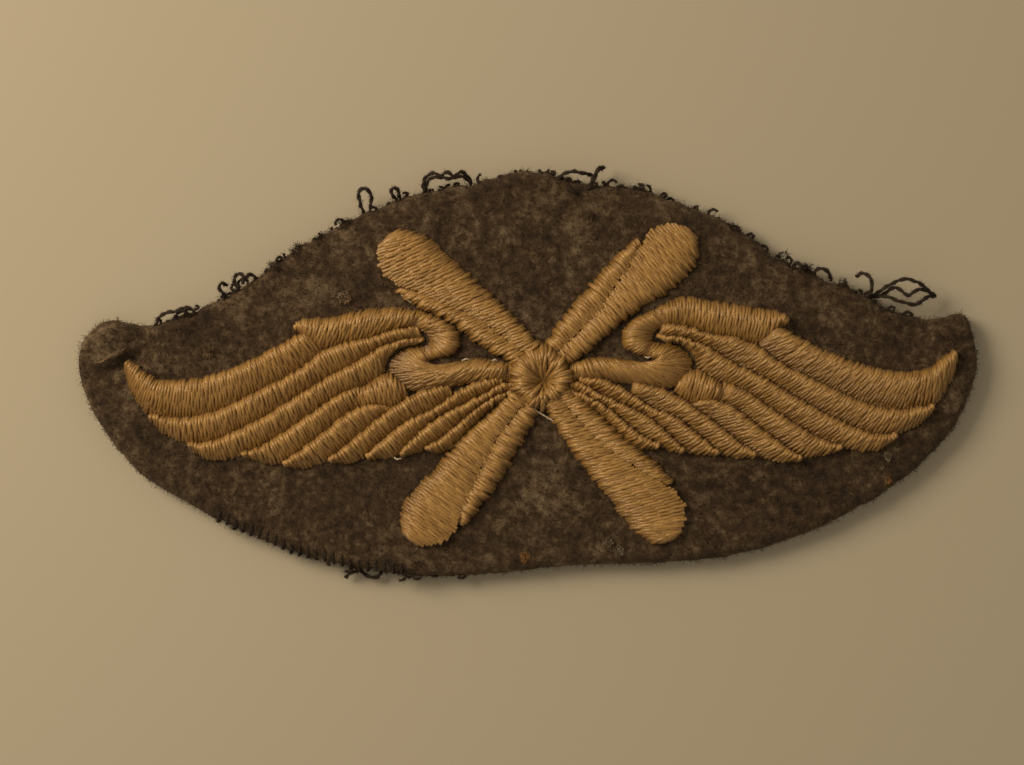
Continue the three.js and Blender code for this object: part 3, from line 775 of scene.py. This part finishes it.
# The crown height is kept on the thread so that its material can paint shade low on each column.
depth = node(
    "GeometryNodeStoreNamedAttribute", {"Geometry": shaded, "Name": "crown", "Value": lifted},
    data_type="FLOAT", domain="POINT")
strands = node(
    "GeometryNodePointsToCurves", {"Points": depth, "Curve Group ID": strand, "Weight": step})
ply_radius = node(maths, (given, "Thread"), satin_ply_radius, operation="MULTIPLY")
section = node("GeometryNodeCurvePrimitiveCircle", {"Resolution": 5, "Radius": ply_radius})
plies = node(
    "GeometryNodeCurveToMesh", {"Curve": strands, "Profile Curve": section, "Fill Caps": True})
solid = node("GeometryNodeRealizeInstances", plies)
coloured = node("GeometryNodeSetMaterial", {"Geometry": solid, "Material": (given, "Material")})
bloom = node(
    "GeometryNodeGroup", {"Geometry": plies, "Density": (given, "Bloom"), "Length": 0.45 * MM,
    "Thickness": 0.012 * MM, "Points": 4, "Curl": 0.5 * MM, "Tilt": 1.2, "Seed": (given, "Seed"),
    "Pale Share": -1.0, "Dark": (given, "Material")}, node_tree=nap_tree)
worked_threads = node("GeometryNodeJoinGeometry")
for part in (coloured, bloom):
    set_inputs(satin_tree, worked_threads, {0: part})
node("NodeGroupOutput", {"Geometry": worked_threads})

# Mercerised embroidery thread, two-ply and soft with age: a silky shine on golden tan, cloudy
# with soiling. Its colour is painted duller and browner low on each column, where the thread dives
# into the cloth: painted shade in the valleys between the columns.
gold, tree, shader = new_material("embroidery_thread_gold")
shade = add_node(tree, "ShaderNodeAttribute", attribute_name="shade")
crown_height = add_node(tree, "ShaderNodeAttribute", attribute_name="crown")
position = add_node(tree, "ShaderNodeTexCoord")
soiling = add_node(
    tree, "ShaderNodeTexNoise", {"Vector": (position, "Object"), "Scale": 700.0, "Detail": 5.0})
tint = add_node(tree, "ShaderNodeMix", 0.5, {2: (shade, "Fac"), 3: (soiling, "Fac")})
dyed = add_node(tree, "ShaderNodeValToRGB", {"Fac": tint})
dyed.color_ramp.elements[0].position = 0.1
dyed.color_ramp.elements[0].color = colour(0x865F28)
dyed.color_ramp.elements[1].position = 0.9
dyed.color_ramp.elements[1].color = colour(0xB68A47)
# Painted shade: the thread is darkened towards 0x69470F where its crown is low, in the valleys between columns.
low_crown_shade = add_node(
    tree, "ShaderNodeMapRange", {"Value": (crown_height, "Fac"), "From Min": 0.0,
    "From Max": 0.9})
valley_shaded = add_node(
    tree, "ShaderNodeMix", low_crown_shade, {6: colour(0x69470F), 7: (dyed, "Color")}, data_type="RGBA")
filaments = add_node(
    tree, "ShaderNodeTexNoise", {"Vector": (position, "Object"), "Scale": 6000.0, "Detail": 2.0})
relief = add_node(
    tree, "ShaderNodeBump", {"Height": (filaments, "Fac"), "Strength": 0.9,
    "Distance": 0.07 * MM})
set_inputs(tree, shader, {
    "Base Color": (valley_shaded, 2), "Normal": relief, "Roughness": 0.33, "Specular IOR Level": 0.6,
    "Specular Tint": colour(0xFFF3E2), "Sheen Weight": 0.15, "Sheen Tint": colour(0xF0E2CC)})
gold.diffuse_color = colour(0xB4843F)

# The padding stitches below the satin are the same thread, unseen but for the gaps between.
padding, tree, shader = new_material("padding_thread_gold")
position = add_node(tree, "ShaderNodeTexCoord")
runs = add_node(tree, "ShaderNodeTexNoise", {"Vector": (position, "Object"), "Scale": 2500.0})
relief = add_node(tree, "ShaderNodeBump", {"Height": (runs, "Fac"), "Distance": 0.0002})
set_inputs(tree, shader, {
    "Base Color": colour(0x9C7030), "Normal": relief, "Roughness": 0.7})
padding.diffuse_color = colour(0x9C7030)

stitch_pitch = 0.35  # the usual spacing of machine satin stitch, taken as a guess
thread_width = 0.56
twist_length = 3.2
thread_bloom = 1.1  # loose fibres that stand off the thread, for each square millimetre of it
end_taper = 1.6  # the stretch over which a column's crown sinks towards its ends


def rails_object(rail_a, rail_b, closed=False, height=face_z):
    """The two rails of a column as one curve object, by default on the face of the cloth."""
    return curve_of("rails", [[(point.x, point.y, height) for point in smooth_line(rail, closed)]
                              for rail in (rail_a, rail_b)], closed)


def sampled(line, share):
    """The point at a share of a line's length."""
    remaining = line_length(line) * min(max(share, 0.0), 1.0)
    for a, b in zip(line, line[1:]):
        span = (b - a).length
        if remaining <= span and span > 0:
            return a.lerp(b, remaining / span)
        remaining -= span
    return line[-1]


def add_padding(worked, rail_a, rail_b, crown, fullness, ridge_power, lifts, closed, taper):
    """Adds the padding stitches under a column to its mesh, as one low closed cushion."""
    lines = [smooth_line(rail, closed) for rail in (rail_a, rail_b)]
    if closed:
        lines = [line + line[:1] for line in lines]
    stations = 24
    shares = (0.04, 0.15, 0.3, 0.5, 0.7, 0.85, 0.96)
    sections = []
    for station in range(stations + (0 if closed else 1)):
        start, end = (sampled(line, station / stations) for line in lines)
        from_end = min(station, stations - station) / stations
        end_height = 0.3 + 0.7 * min(1.0, from_end / taper)
        section = []
        for share in shares:
            lift = lifts[0] + (lifts[1] - lifts[0]) * share
            dome = 1 - abs(2 * share ** ridge_power - 1) ** fullness
            point = start.lerp(end, share)
            height = (face_z + crown * end_height * (lift + (1 - lift) * dome)
                      + 0.1 * min(1.0, 3 * dome) - 0.05)
            section.append(worked.verts.new(placed(point.x, point.y, height)))
        for share in (shares[-1], shares[0]):
            point = start.lerp(end, share)
            section.append(worked.verts.new(placed(point.x, point.y, face_z - 0.3)))
        sections.append(section)
    pairs = list(zip(sections, sections[1:]))
    if closed:
        pairs.append((sections[-1], sections[0]))
    made = []
    for here, there in pairs:
        for i in range(len(here)):
            j = (i + 1) % len(here)
            made.append(worked.faces.new((here[i], there[i], there[j], here[j])))
    if not closed:
        made.append(worked.faces.new(list(reversed(sections[-1]))))
        made.append(worked.faces.new(sections[0]))
    for face in made:
        face.material_index = 1
    bmesh.ops.recalc_face_normals(worked, faces=made)


column_rails = {}


def stitch_column(name, rail_a, rail_b, crown, lean=0.0, widest=3.5, points=15, lifts=(0.0, 0.0),
                  scatter=0.12, seed=1, closed=False, pitch=stitch_pitch, fullness=1.6, ridge=0.5):
    """Works one satin column over its padding and lets it stand for its CAD node."""
    column_rails[name] = (rail_a, rail_b, closed)
    rails = rails_object(rail_a, rail_b, closed)
    length = max(line_length(smooth_line(rail, closed)) for rail in (rail_a, rail_b))
    overrun = lean * widest / length
    taper = 1e-6 if closed else min(0.4, end_taper / length)
    ridge_power = math.log(0.5) / math.log(ridge)
    piece = grown(name + "_stitches", rails, satin_tree, {
        "Stitches": round(length * (1 + abs(overrun)) / pitch), "Points": points,
        "Crown": crown * MM, "Fullness": fullness, "Ridge Power": ridge_power,
        "Start Lift": lifts[0], "End Lift": lifts[1], "Lean": lean / (length * MM),
        "Overrun": overrun, "Taper": taper, "Thread": thread_width * MM,
        "Twist": twist_length * MM,
        "Scatter": scatter * MM, "Bloom": thread_bloom / MM ** 2, "Seed": seed, "Material": gold})
    bpy.data.objects.remove(rails)
    worked = bmesh.new()
    worked.from_mesh(piece.data)
    for face in worked.faces:
        face.smooth = True
    add_padding(worked, rail_a, rail_b, crown, fullness, ridge_power, lifts, closed, taper)
    worked.to_mesh(piece.data)
    worked.free()
    piece.data.materials.clear()
    piece.data.materials.append(gold)
    piece.data.materials.append(padding)
    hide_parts(name)
    ride_in(piece)


# ---- the wings
# Nine feathers hang from each wing, each worked from its own upper edge to the edge that it
# shares with the next. The left wing's stitches lean a little, the right's more.
feather_edges = [
    [(45.6, 2.2), (44.4, 1.5), (43, 0.4), (40.5, 0), (37.5, 0.3), (34.5, 1.2), (31, 2.7),
     (28.4, 4.1), (26.7, 5), (25.6, 5.6)],
    [(43.1, -3.7), (40, -4.1), (37, -3.7), (33.5, -2.3), (29, -0.1), (26.4, 1.3), (24.5, 2.8),
     (22, 3.9), (19, 4.4), (16.5, 5.2), (13.8, 5.7)],
    [(39, -6.8), (36.8, -6.8), (34, -5.7), (30, -3.7), (25, -0.6), (21.5, 1.2), (18.2, 3.2),
     (15.4, 4.1), (13, 4.4)],
    [(33, -8), (31, -7.3), (28, -5.5), (25, -3.5), (22.5, -1.8), (20.3, -0.9)],
    [(28.5, -9.1), (26.5, -7.7), (24, -5.8), (21.5, -3.8), (19.2, -2.9), (17.2, -3.2)],
    [(23.4, -8.7), (21.4, -7.1), (18.5, -4.8), (15.8, -2.8), (13.6, -1.6), (10.4, -0.8)],
    [(19.3, -8.4), (17.6, -6.8), (15, -4.8), (12.2, -3.6), (10, -2.1), (7.9, -0.8), (6, -0.3),
     (4.4, -0.1)],
    [(15.5, -8.1), (13.2, -5.7), (11, -4.1), (8.4, -2.9), (6, -1.7), (4.3, -0.8), (3.2, -0.6)],
    [(12.8, -7.6), (10.8, -6.5), (8.6, -4.6), (6.4, -3), (4.8, -2.1), (3.4, -1.5)],
]
# The other edge of each feather: round its tip, along so many points of the next feather's upper
# edge, and in to its root. The last feather has no next one.
feather_rests = [
    ([(45.9, 1.2), (45.3, -1), (44, -3)], 6, [(25.3, 2.1), (24.2, 2.9)]),
    ([(43.1, -4.3), (41.6, -5.8)], 8, [(13.2, 4.5)]),
    ([(38.8, -7.3), (37.2, -8.5), (35, -8.6)], 6, [(18.2, 0), (17.4, 1), (17, 2.3),
      (15.9, 3.4), (14.2, 3.8)]),
    ([(32.8, -8.4), (31, -9)], 4, [(19.9, -3)]),
    ([(28.3, -9.5), (26, -9.6)], 3, [(16.6, -3.4)]),
    ([(23.2, -9.1), (21.2, -9.1)], 5, []),
    ([(19.1, -8.8), (17.2, -8.7)], 5, [(4.4, -1)]),
    ([(15.3, -8.5), (14, -8.2)], 5, [(3.4, -1.4)]),
    ([], 0, [(12.6, -7.9), (11.3, -8.1), (9.9, -7.5), (8.3, -5.9), (6.6, -4.2), (5.1, -3),
      (3.6, -2.4)]),
]
feather_undersides = [tip + shared[:count] + root for (tip, count, root), shared
                      in zip(feather_rests, feather_edges[1:] + [[]])]
band_columns = {
    "covert_bar": (
        [(27.2, 6.1), (26.2, 6.6), (23, 6.9), (19, 7.6), (15.8, 7.8), (12.8, 7.2)],
        [(27, 5.5), (26, 4.8), (24.9, 3.4), (22, 3.9), (19, 4.4), (16.5, 5.2), (14, 5.7)]),
    "shoulder": (
        [(12.8, 7.2), (10.8, 6.4), (9.5, 5.4), (9, 4.3), (9.3, 3.3), (10.4, 2.6), (11.7, 2.3)],
        [(14, 5.7), (13, 5.3), (12.4, 4.8), (12.2, 4.2), (12.2, 3.8), (12.6, 3.5)]),
    "inner_arm": (
        [(12.0, 2.2), (12.7, 1.9), (12.5, 1.4), (11.2, 1.3), (9.4, 1.6), (7.4, 1.9), (5.8, 1.9),
         (3.4, 1.4)],
        [(12.6, 3.5), (15, 3.2), (16.4, 2), (16.6, 0.8), (15.7, -0.6), (13.6, -1.3), (10.6, -0.9),
         (7.6, -0.5), (3.4, -0.4)]),
    "tertial_patch": (
        [(20.5, -1.4), (18.8, -0.3), (17.5, 0.5), (16.4, 0.4), (15.6, -0.5)],
        [(19.9, -2.9), (18.4, -3.2), (17, -3.3), (15.8, -2.9), (14.9, -1.8)]),
}
right_covert_top = [(27.3, 6.3), (26.2, 6.9), (23, 7.4), (19, 8.1), (15.8, 8.5), (12.8, 7.4)]
satin_crown = 1.1
feather_lean = {"left": 0.3, "right": 0.75}
band_lean = {"left": {"covert_bar": 0.0}, "right": {"covert_bar": 0.3}}

for wing, side_sign in (("left", -1), ("right", 1)):
    def on_wing(rail):
        return [(side_sign * x, y) for x, y in rail]

    for place, (outer, (top, foot)) in enumerate(band_columns.items()):
        if wing == "right" and outer == "covert_bar":
            top = right_covert_top
        stitch_column(f"{wing}_{outer}", on_wing(top), on_wing(foot), satin_crown,
                      lean=band_lean[wing].get(outer, 0.0), seed=40 + place + side_sign,
                      ridge=0.35, fullness=1.5)
    for place, (edge, underside) in enumerate(zip(feather_edges, feather_undersides)):
        stitch_column(f"{wing}_feather_{place + 1}", on_wing(edge), on_wing(underside),
                      satin_crown, lean=feather_lean[wing], seed=10 + place + 20 * side_sign,
                      ridge=0.24, fullness=1.35)

# ---- the propeller blades
# Each blade is worked in two columns that meet in an uneven line of needle holes: a broad one
# that rounds the tip, and a narrow one behind it.
blade_leading_edge = [(2.7, -1.5), (8, -2.3), (12, -2.8), (16, -3.1), (19.5, -3.3), (21.8, -2.7),
                      (22.9, -1.3)]
blade_split = [(2.7, 0.3), (9, 0.3), (12, 0.9), (15, 1.6), (18, 2.5)]
blade_tip = [(20, 2.9), (21.8, 2.1), (22.9, 0.5)]
blade_trailing_edge = [(2.7, 1.9), (8, 2.8), (12, 3.2), (15.5, 3.4), (18.2, 3.3)]
blade_reach = 22.9
squeeze_centre = 10.8
squeeze_spread = 3.2
blade_crown = 1.0
for name, angle, root_step, squeeze_leading, squeeze_trailing, lean in (
    ("upper_right_blade", 44, 0.4, 0.7, 0.0, -0.1),
    ("upper_left_blade", 139, -1.3, 0.0, 0.8, 0.45),
    ("lower_left_blade", 231.5, 0.0, 0.0, 0.0, -0.15),
    ("lower_right_blade", 310.5, -0.4, 0.0, 0.5, 0.48),
):
    axis = Vector((math.cos(math.radians(angle)), math.sin(math.radians(angle))))

    def on_blade(rail, squeeze=0.0):
        found = []
        for out, step_aside in rail:
            crowding = math.exp(-((out - squeeze_centre) / squeeze_spread) ** 2)
            aside = step_aside + root_step * (1 - out / blade_reach) + squeeze * crowding
            found.append((axis.x * out - axis.y * aside, axis.y * out + axis.x * aside))
        return found

    stitch_column(name + "_broad", on_blade(blade_leading_edge, squeeze_leading),
                  on_blade(blade_split + blade_tip), blade_crown, lean=lean, widest=6,
                  points=18, lifts=(0.0, 0.68), scatter=0.22, seed=int(angle), fullness=2.8)
    stitch_column(name + "_narrow", on_blade(blade_split),
                  on_blade(blade_trailing_edge, -squeeze_trailing), blade_crown * 0.95, lean=lean,
                  widest=3, points=13, lifts=(0.68, 0.0), scatter=0.26, seed=int(angle) + 7)

# ---- the hub
# A ring of radial stitches that all dive into one needle hole, a little off the middle.
hub_radius = 3.5
hub_hole = 0.3
hub_crown = 1.5
hub_pitch = 0.46  # at the rim, so that the stitches crowd at the hole
needle_hole = (0.3, -0.5)
circle = [(math.cos(t * math.pi / 8), math.sin(t * math.pi / 8)) for t in range(16)]
hole_rail = [(needle_hole[0] + hub_hole * x, needle_hole[1] + hub_hole * y) for x, y in circle]
rim_rail = [(hub_radius * x - 0.1, hub_radius * y + 0.1) for x, y in circle]
stitch_column("hub", hole_rail, rim_rail, hub_crown, points=16, closed=True, scatter=0.5, seed=90,
              pitch=hub_pitch, ridge=0.62, fullness=1.7)

# ---- the thread ends left on the face
# A pale lower thread carried from the hub to the lower right blade, and short ends of it where
# the satin stitch pulled it up. One golden thread is carried below the left wing's last feather.
pale_spun = fibre_material("pale_cotton_thread", 0xBFAE8E)
over_felt = face_z + 0.35
jump = thread_runs("jump_thread_spun", [
    [(-1.2, -3.2, over_felt + 0.5), (-0.5, -3.8, over_felt + 0.2), (0.4, -4.3, over_felt),
     (1.3, -4.9, over_felt), (2.1, -5.4, over_felt + 0.1), (2.9, -5.8, over_felt + 0.4)]],
    pale_spun, thread=0.24, twist=0.9, wander=0.12, fuzz=3.0, fuzz_length=0.4)
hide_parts("jump_thread")
thread_runs("pale_thread_ends", [
    [(-15.3, 9.3, over_felt), (-14.8, 8.8, over_felt + 0.3), (-14.2, 8.4, over_felt + 0.2)],
    [(-8.7, 1.9, over_felt), (-8.2, 2.1, over_felt + 0.3), (-7.8, 1.9, over_felt)],
    [(-5.5, 1.8, over_felt), (-5.1, 2.0, over_felt + 0.2), (-4.8, 1.8, over_felt)],
    [(11.5, 2.1, over_felt), (11.9, 2.0, over_felt + 0.3), (12.3, 2.2, over_felt)],
    [(-16.3, -8.7, over_felt), (-16, -8.9, over_felt + 0.2), (-15.6, -8.8, over_felt)]],
    pale_spun, thread=0.22, twist=0.9, wander=0.1, fuzz=3.0, fuzz_length=0.3)
thread_runs("carried_gold_thread", [
    [(-12.6, -7.7, face_z + 0.4), (-11.6, -7.9, face_z + 0.3), (-10.4, -7.8, face_z + 0.3),
     (-9.4, -7.4, face_z + 0.4)]],
    gold, thread=0.36, twist=1.6, wander=0.1, fuzz=0.0)

# ---- the lint
# Tufts of tan and orange-tan fluff that have caught in the nap; each is a loose ball of fibres.
lint_tan = fibre_material("lint_fibre_tan", 0xA07F55)
lint_orange = fibre_material("lint_fibre_orange_tan", 0xB98048)
lint_pale = fibre_material("lint_fibre_pale", 0xA5977A)
for place, (x, y, radius, fluff, other) in enumerate((
    (-21.7, 9.1, 0.62, lint_tan, lint_pale), (38.3, -11.9, 0.34, lint_orange, lint_tan),
    (38.3, -9.2, 0.4, lint_pale, lint_tan), (-2, -19.9, 0.5, lint_orange, lint_tan),
    (8.3, -19.3, 0.5, lint_pale, wool_pale), (7.2, -18.4, 0.5, lint_pale, wool_pale),
    (-37, 3.2, 0.6, wool_pale, lint_tan), (5.3, 17.6, 0.6, wool_pale, lint_tan),
)):
    fibre_ball(
        f"lint_{place + 1}", radius,
        lambda co: placed(x, y, face_z + 0.15) + Vector((co.x, co.y, co.z * 0.4)),
        {"Density": 120 / MM ** 2, "Length": 0.5 * radius * MM, "Thickness": 0.014 * MM,
         "Points": 5, "Curl": 1.5 * radius * MM, "Tilt": 1.4, "Seed": place, "Dark": fluff,
         "Pale": other, "Pale Share": 0.35})

# A ridge of pale fibres along the crease across the folded left end: a painted highlight where the fold's edge
# catches the light.
crease_highlight_fibres = thread_runs("crease_highlight_fibres", [
    [(-49.3, 2.25, face_z + 0.5), (-48.4, 2.4, face_z + 0.62), (-47.6, 2.75, face_z + 0.68),
     (-46.8, 3.3, face_z + 0.6), (-45.9, 3.75, face_z + 0.4)]],
    lint_tan, thread=0.07, twist=1.2, wander=0.6, fuzz=60.0, fuzz_length=0.3)

# ---- the back of the badge
# A woven stiffening gauze lies inside the hem, its threads 0.85 mm apart. The pale bobbin thread
# shows through it as narrow columns, one under each column of the face, and the hem is caught
# down to it all round.
gauze_tree = new_tree("gauze_weave", {"Pitch": "Float", "Sway": "Float", "Thread": "Float",
                                      "Material": "Material"})
node = partial(add_node, gauze_tree)
given = node("NodeGroupInput")
even_steps = node(
    "GeometryNodeResampleCurve", {"Curve": (given, "Geometry"), "Length": 0.4 * MM},
    mode="LENGTH")
place_now = node("GeometryNodeInputPosition")
crossings = node(vector_maths, place_now, (math.pi, math.pi, 0), operation="DOT_PRODUCT")
phase = node(maths, (crossings, "Value"), (given, "Pitch"), operation="DIVIDE")
wave = node(maths, phase, operation="COSINE")
over_under = node(maths, wave, (given, "Sway"), operation="MULTIPLY")
up_down = node("ShaderNodeCombineXYZ", {"Z": over_under})
woven = node("GeometryNodeSetPosition", {"Geometry": even_steps, "Offset": up_down})
bare, coloured = finished_tubes(node, given, woven, 4, (given, "Thread"))
node("NodeGroupOutput", {"Geometry": coloured})

gauze_cotton = fibre_material("gauze_cotton_sized", 0xB9AD97)
gauze_pitch = 0.85
gauze_z = 1.15
gauze_sway = 0.08  # how far a thread rises and dips to cross the others
gauze_edge = [(x, y) for x, y, z in shrunk_at(hem_width + 1, gauze_z)]


def chords(line, axis, pitch):
    """The straight threads that fill a closed outline, square to an axis and a pitch apart."""
    other = 1 - axis
    low, high = min(p[axis] for p in line), max(p[axis] for p in line)
    found = []
    for number in range(math.ceil(low / pitch), math.floor(high / pitch) + 1):
        level = number * pitch
        hits = []
        for a, b in zip(line, line[1:] + line[:1]):
            if (a[axis] - level) * (b[axis] - level) < 0:
                share = (level - a[axis]) / (b[axis] - a[axis])
                hits.append(a[other] + share * (b[other] - a[other]))
        if len(hits) == 2:
            found.append([(level, end) if axis == 0 else (end, level) for end in sorted(hits)])
    return found


def merged(name, parts):
    """One mesh piece out of several with the same material."""
    whole = bmesh.new()
    for part in parts:
        whole.from_mesh(part.data)
    mesh = bpy.data.meshes.new(name)
    whole.to_mesh(mesh)
    whole.free()
    mesh.materials.append(parts[0].data.materials[0])
    for part in parts:
        bpy.data.objects.remove(part)
    piece = linked(name, mesh)
    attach(piece, "root")
    return piece


families = []
for axis, sway in ((0, gauze_sway), (1, -gauze_sway)):
    source = curve_of("gauze_threads", [[(x, y, gauze_z) for x, y in ends]
                                        for ends in chords(gauze_edge, axis, gauze_pitch)])
    families.append(grown("gauze_threads", source, gauze_tree, {
        "Pitch": gauze_pitch * MM, "Sway": sway * MM, "Thread": 0.14 * MM,
        "Material": gauze_cotton}))
    bpy.data.objects.remove(source)
gauze = merged("gauze_woven", families)
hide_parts("backing_gauze")

# The bobbin thread: pale fine cotton that locks the stitches below the gauze.
bobbin_cotton = fibre_material("bobbin_cotton_pale", 0xC9BFA9)
bobbin_stations = 16


def bobbin_columns(name, worked_columns):
    """The lower side of some satin columns: half as wide, and hanging below the gauze."""
    parts = []
    for number, (rail_a, rail_b, closed) in enumerate(worked_columns):
        lines = [smooth_line(rail, closed) for rail in (rail_a, rail_b)]
        inner = [[], []]
        for station in range(bobbin_stations):
            last = bobbin_stations - (0 if closed else 1)
            start, end = (sampled(line, station / last) for line in lines)
            for rail, share in zip(inner, (0.28, 0.72)):
                rail.append(start.lerp(end, share))
        length = max(line_length(rail) for rail in inner)
        rails = rails_object(*inner, closed, height=hem_thickness - 0.36)
        parts.append(grown(name, rails, satin_tree, {
            "Stitches": max(3, round(length / (2 * stitch_pitch))), "Points": 7,
            "Crown": -0.12 * MM, "Fullness": 2.0, "Ridge Power": 1.0, "Start Lift": 0.0,
            "End Lift": 0.0, "Lean": 0.0, "Overrun": 0.0, "Taper": 1e-6, "Thread": 0.26 * MM,
            "Twist": 1.5 * MM, "Scatter": 0.2 * MM, "Bloom": 0.0, "Seed": 200 + number, "Material": bobbin_cotton}))
        bpy.data.objects.remove(rails)
    piece = merged(name, parts)
    return piece


for wing in ("left", "right"):
    below_wing = bobbin_columns(f"bobbin_columns_{wing}_wing", [
        rails for name, rails in column_rails.items() if name.startswith(wing + "_")])
    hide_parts(f"bobbin_threads_{wing}_wing")
below_hub = bobbin_columns("bobbin_columns_hub", [column_rails["hub"]])
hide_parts("bobbin_threads_hub")
bobbin_columns("bobbin_columns_blades", [
    rails for name, rails in column_rails.items() if "_blade_" in name])

# The hem is caught down to the gauze with a running zigzag of the dark thread.
on_hem = shrunk_at(hem_reach - 1.2, 0.16)
on_gauze = shrunk_at(hem_reach + 1.6, hem_thickness - 0.4)
zigzag = [(on_hem if i % 8 else on_gauze)[i % edge_samples] for i in range(0, edge_samples + 1, 4)]
hem_stitching = thread_runs("hem_stitching", [zigzag], tacking, thread=0.3,
                            twist=1.4, wander=0.1, fuzz=0.0, step=0.3)

# ---- light and table
floor_mesh = bpy.data.meshes.new("floor")
floor_mesh.from_pydata([(-0.6, -0.6, 0), (0.6, -0.6, 0), (0.6, 0.6, 0), (-0.6, 0.6, 0)], [],
                       [(0, 1, 2, 3)])
floor = linked("floor", floor_mesh)
floor_paint, tree, shader = new_material("table_paper_pale")
set_inputs(tree, shader, {"Base Color": colour(0xB2A487), "Roughness": 0.9})
floor_mesh.materials.append(floor_paint)

# One large soft window to the upper left, and pale light from the room all round.
window_place = Vector((-0.225, 0.13, 0.215))
window_data = bpy.data.lights.new("window", "AREA")
window_data.size = 0.16
window_data.energy = 0.9
window_data.color = colour(0xFFF1DF)[:3]
window = linked("window", window_data)
window.location = window_place
window.rotation_euler = (-window_place).to_track_quat("-Z", "Y").to_euler()
world = bpy.data.worlds.new("room")
world.use_nodes = True
set_inputs(world.node_tree, world.node_tree.nodes["Background"],
           {"Color": colour(0xFFF5E8), "Strength": 0.35})
bpy.context.scene.world = world
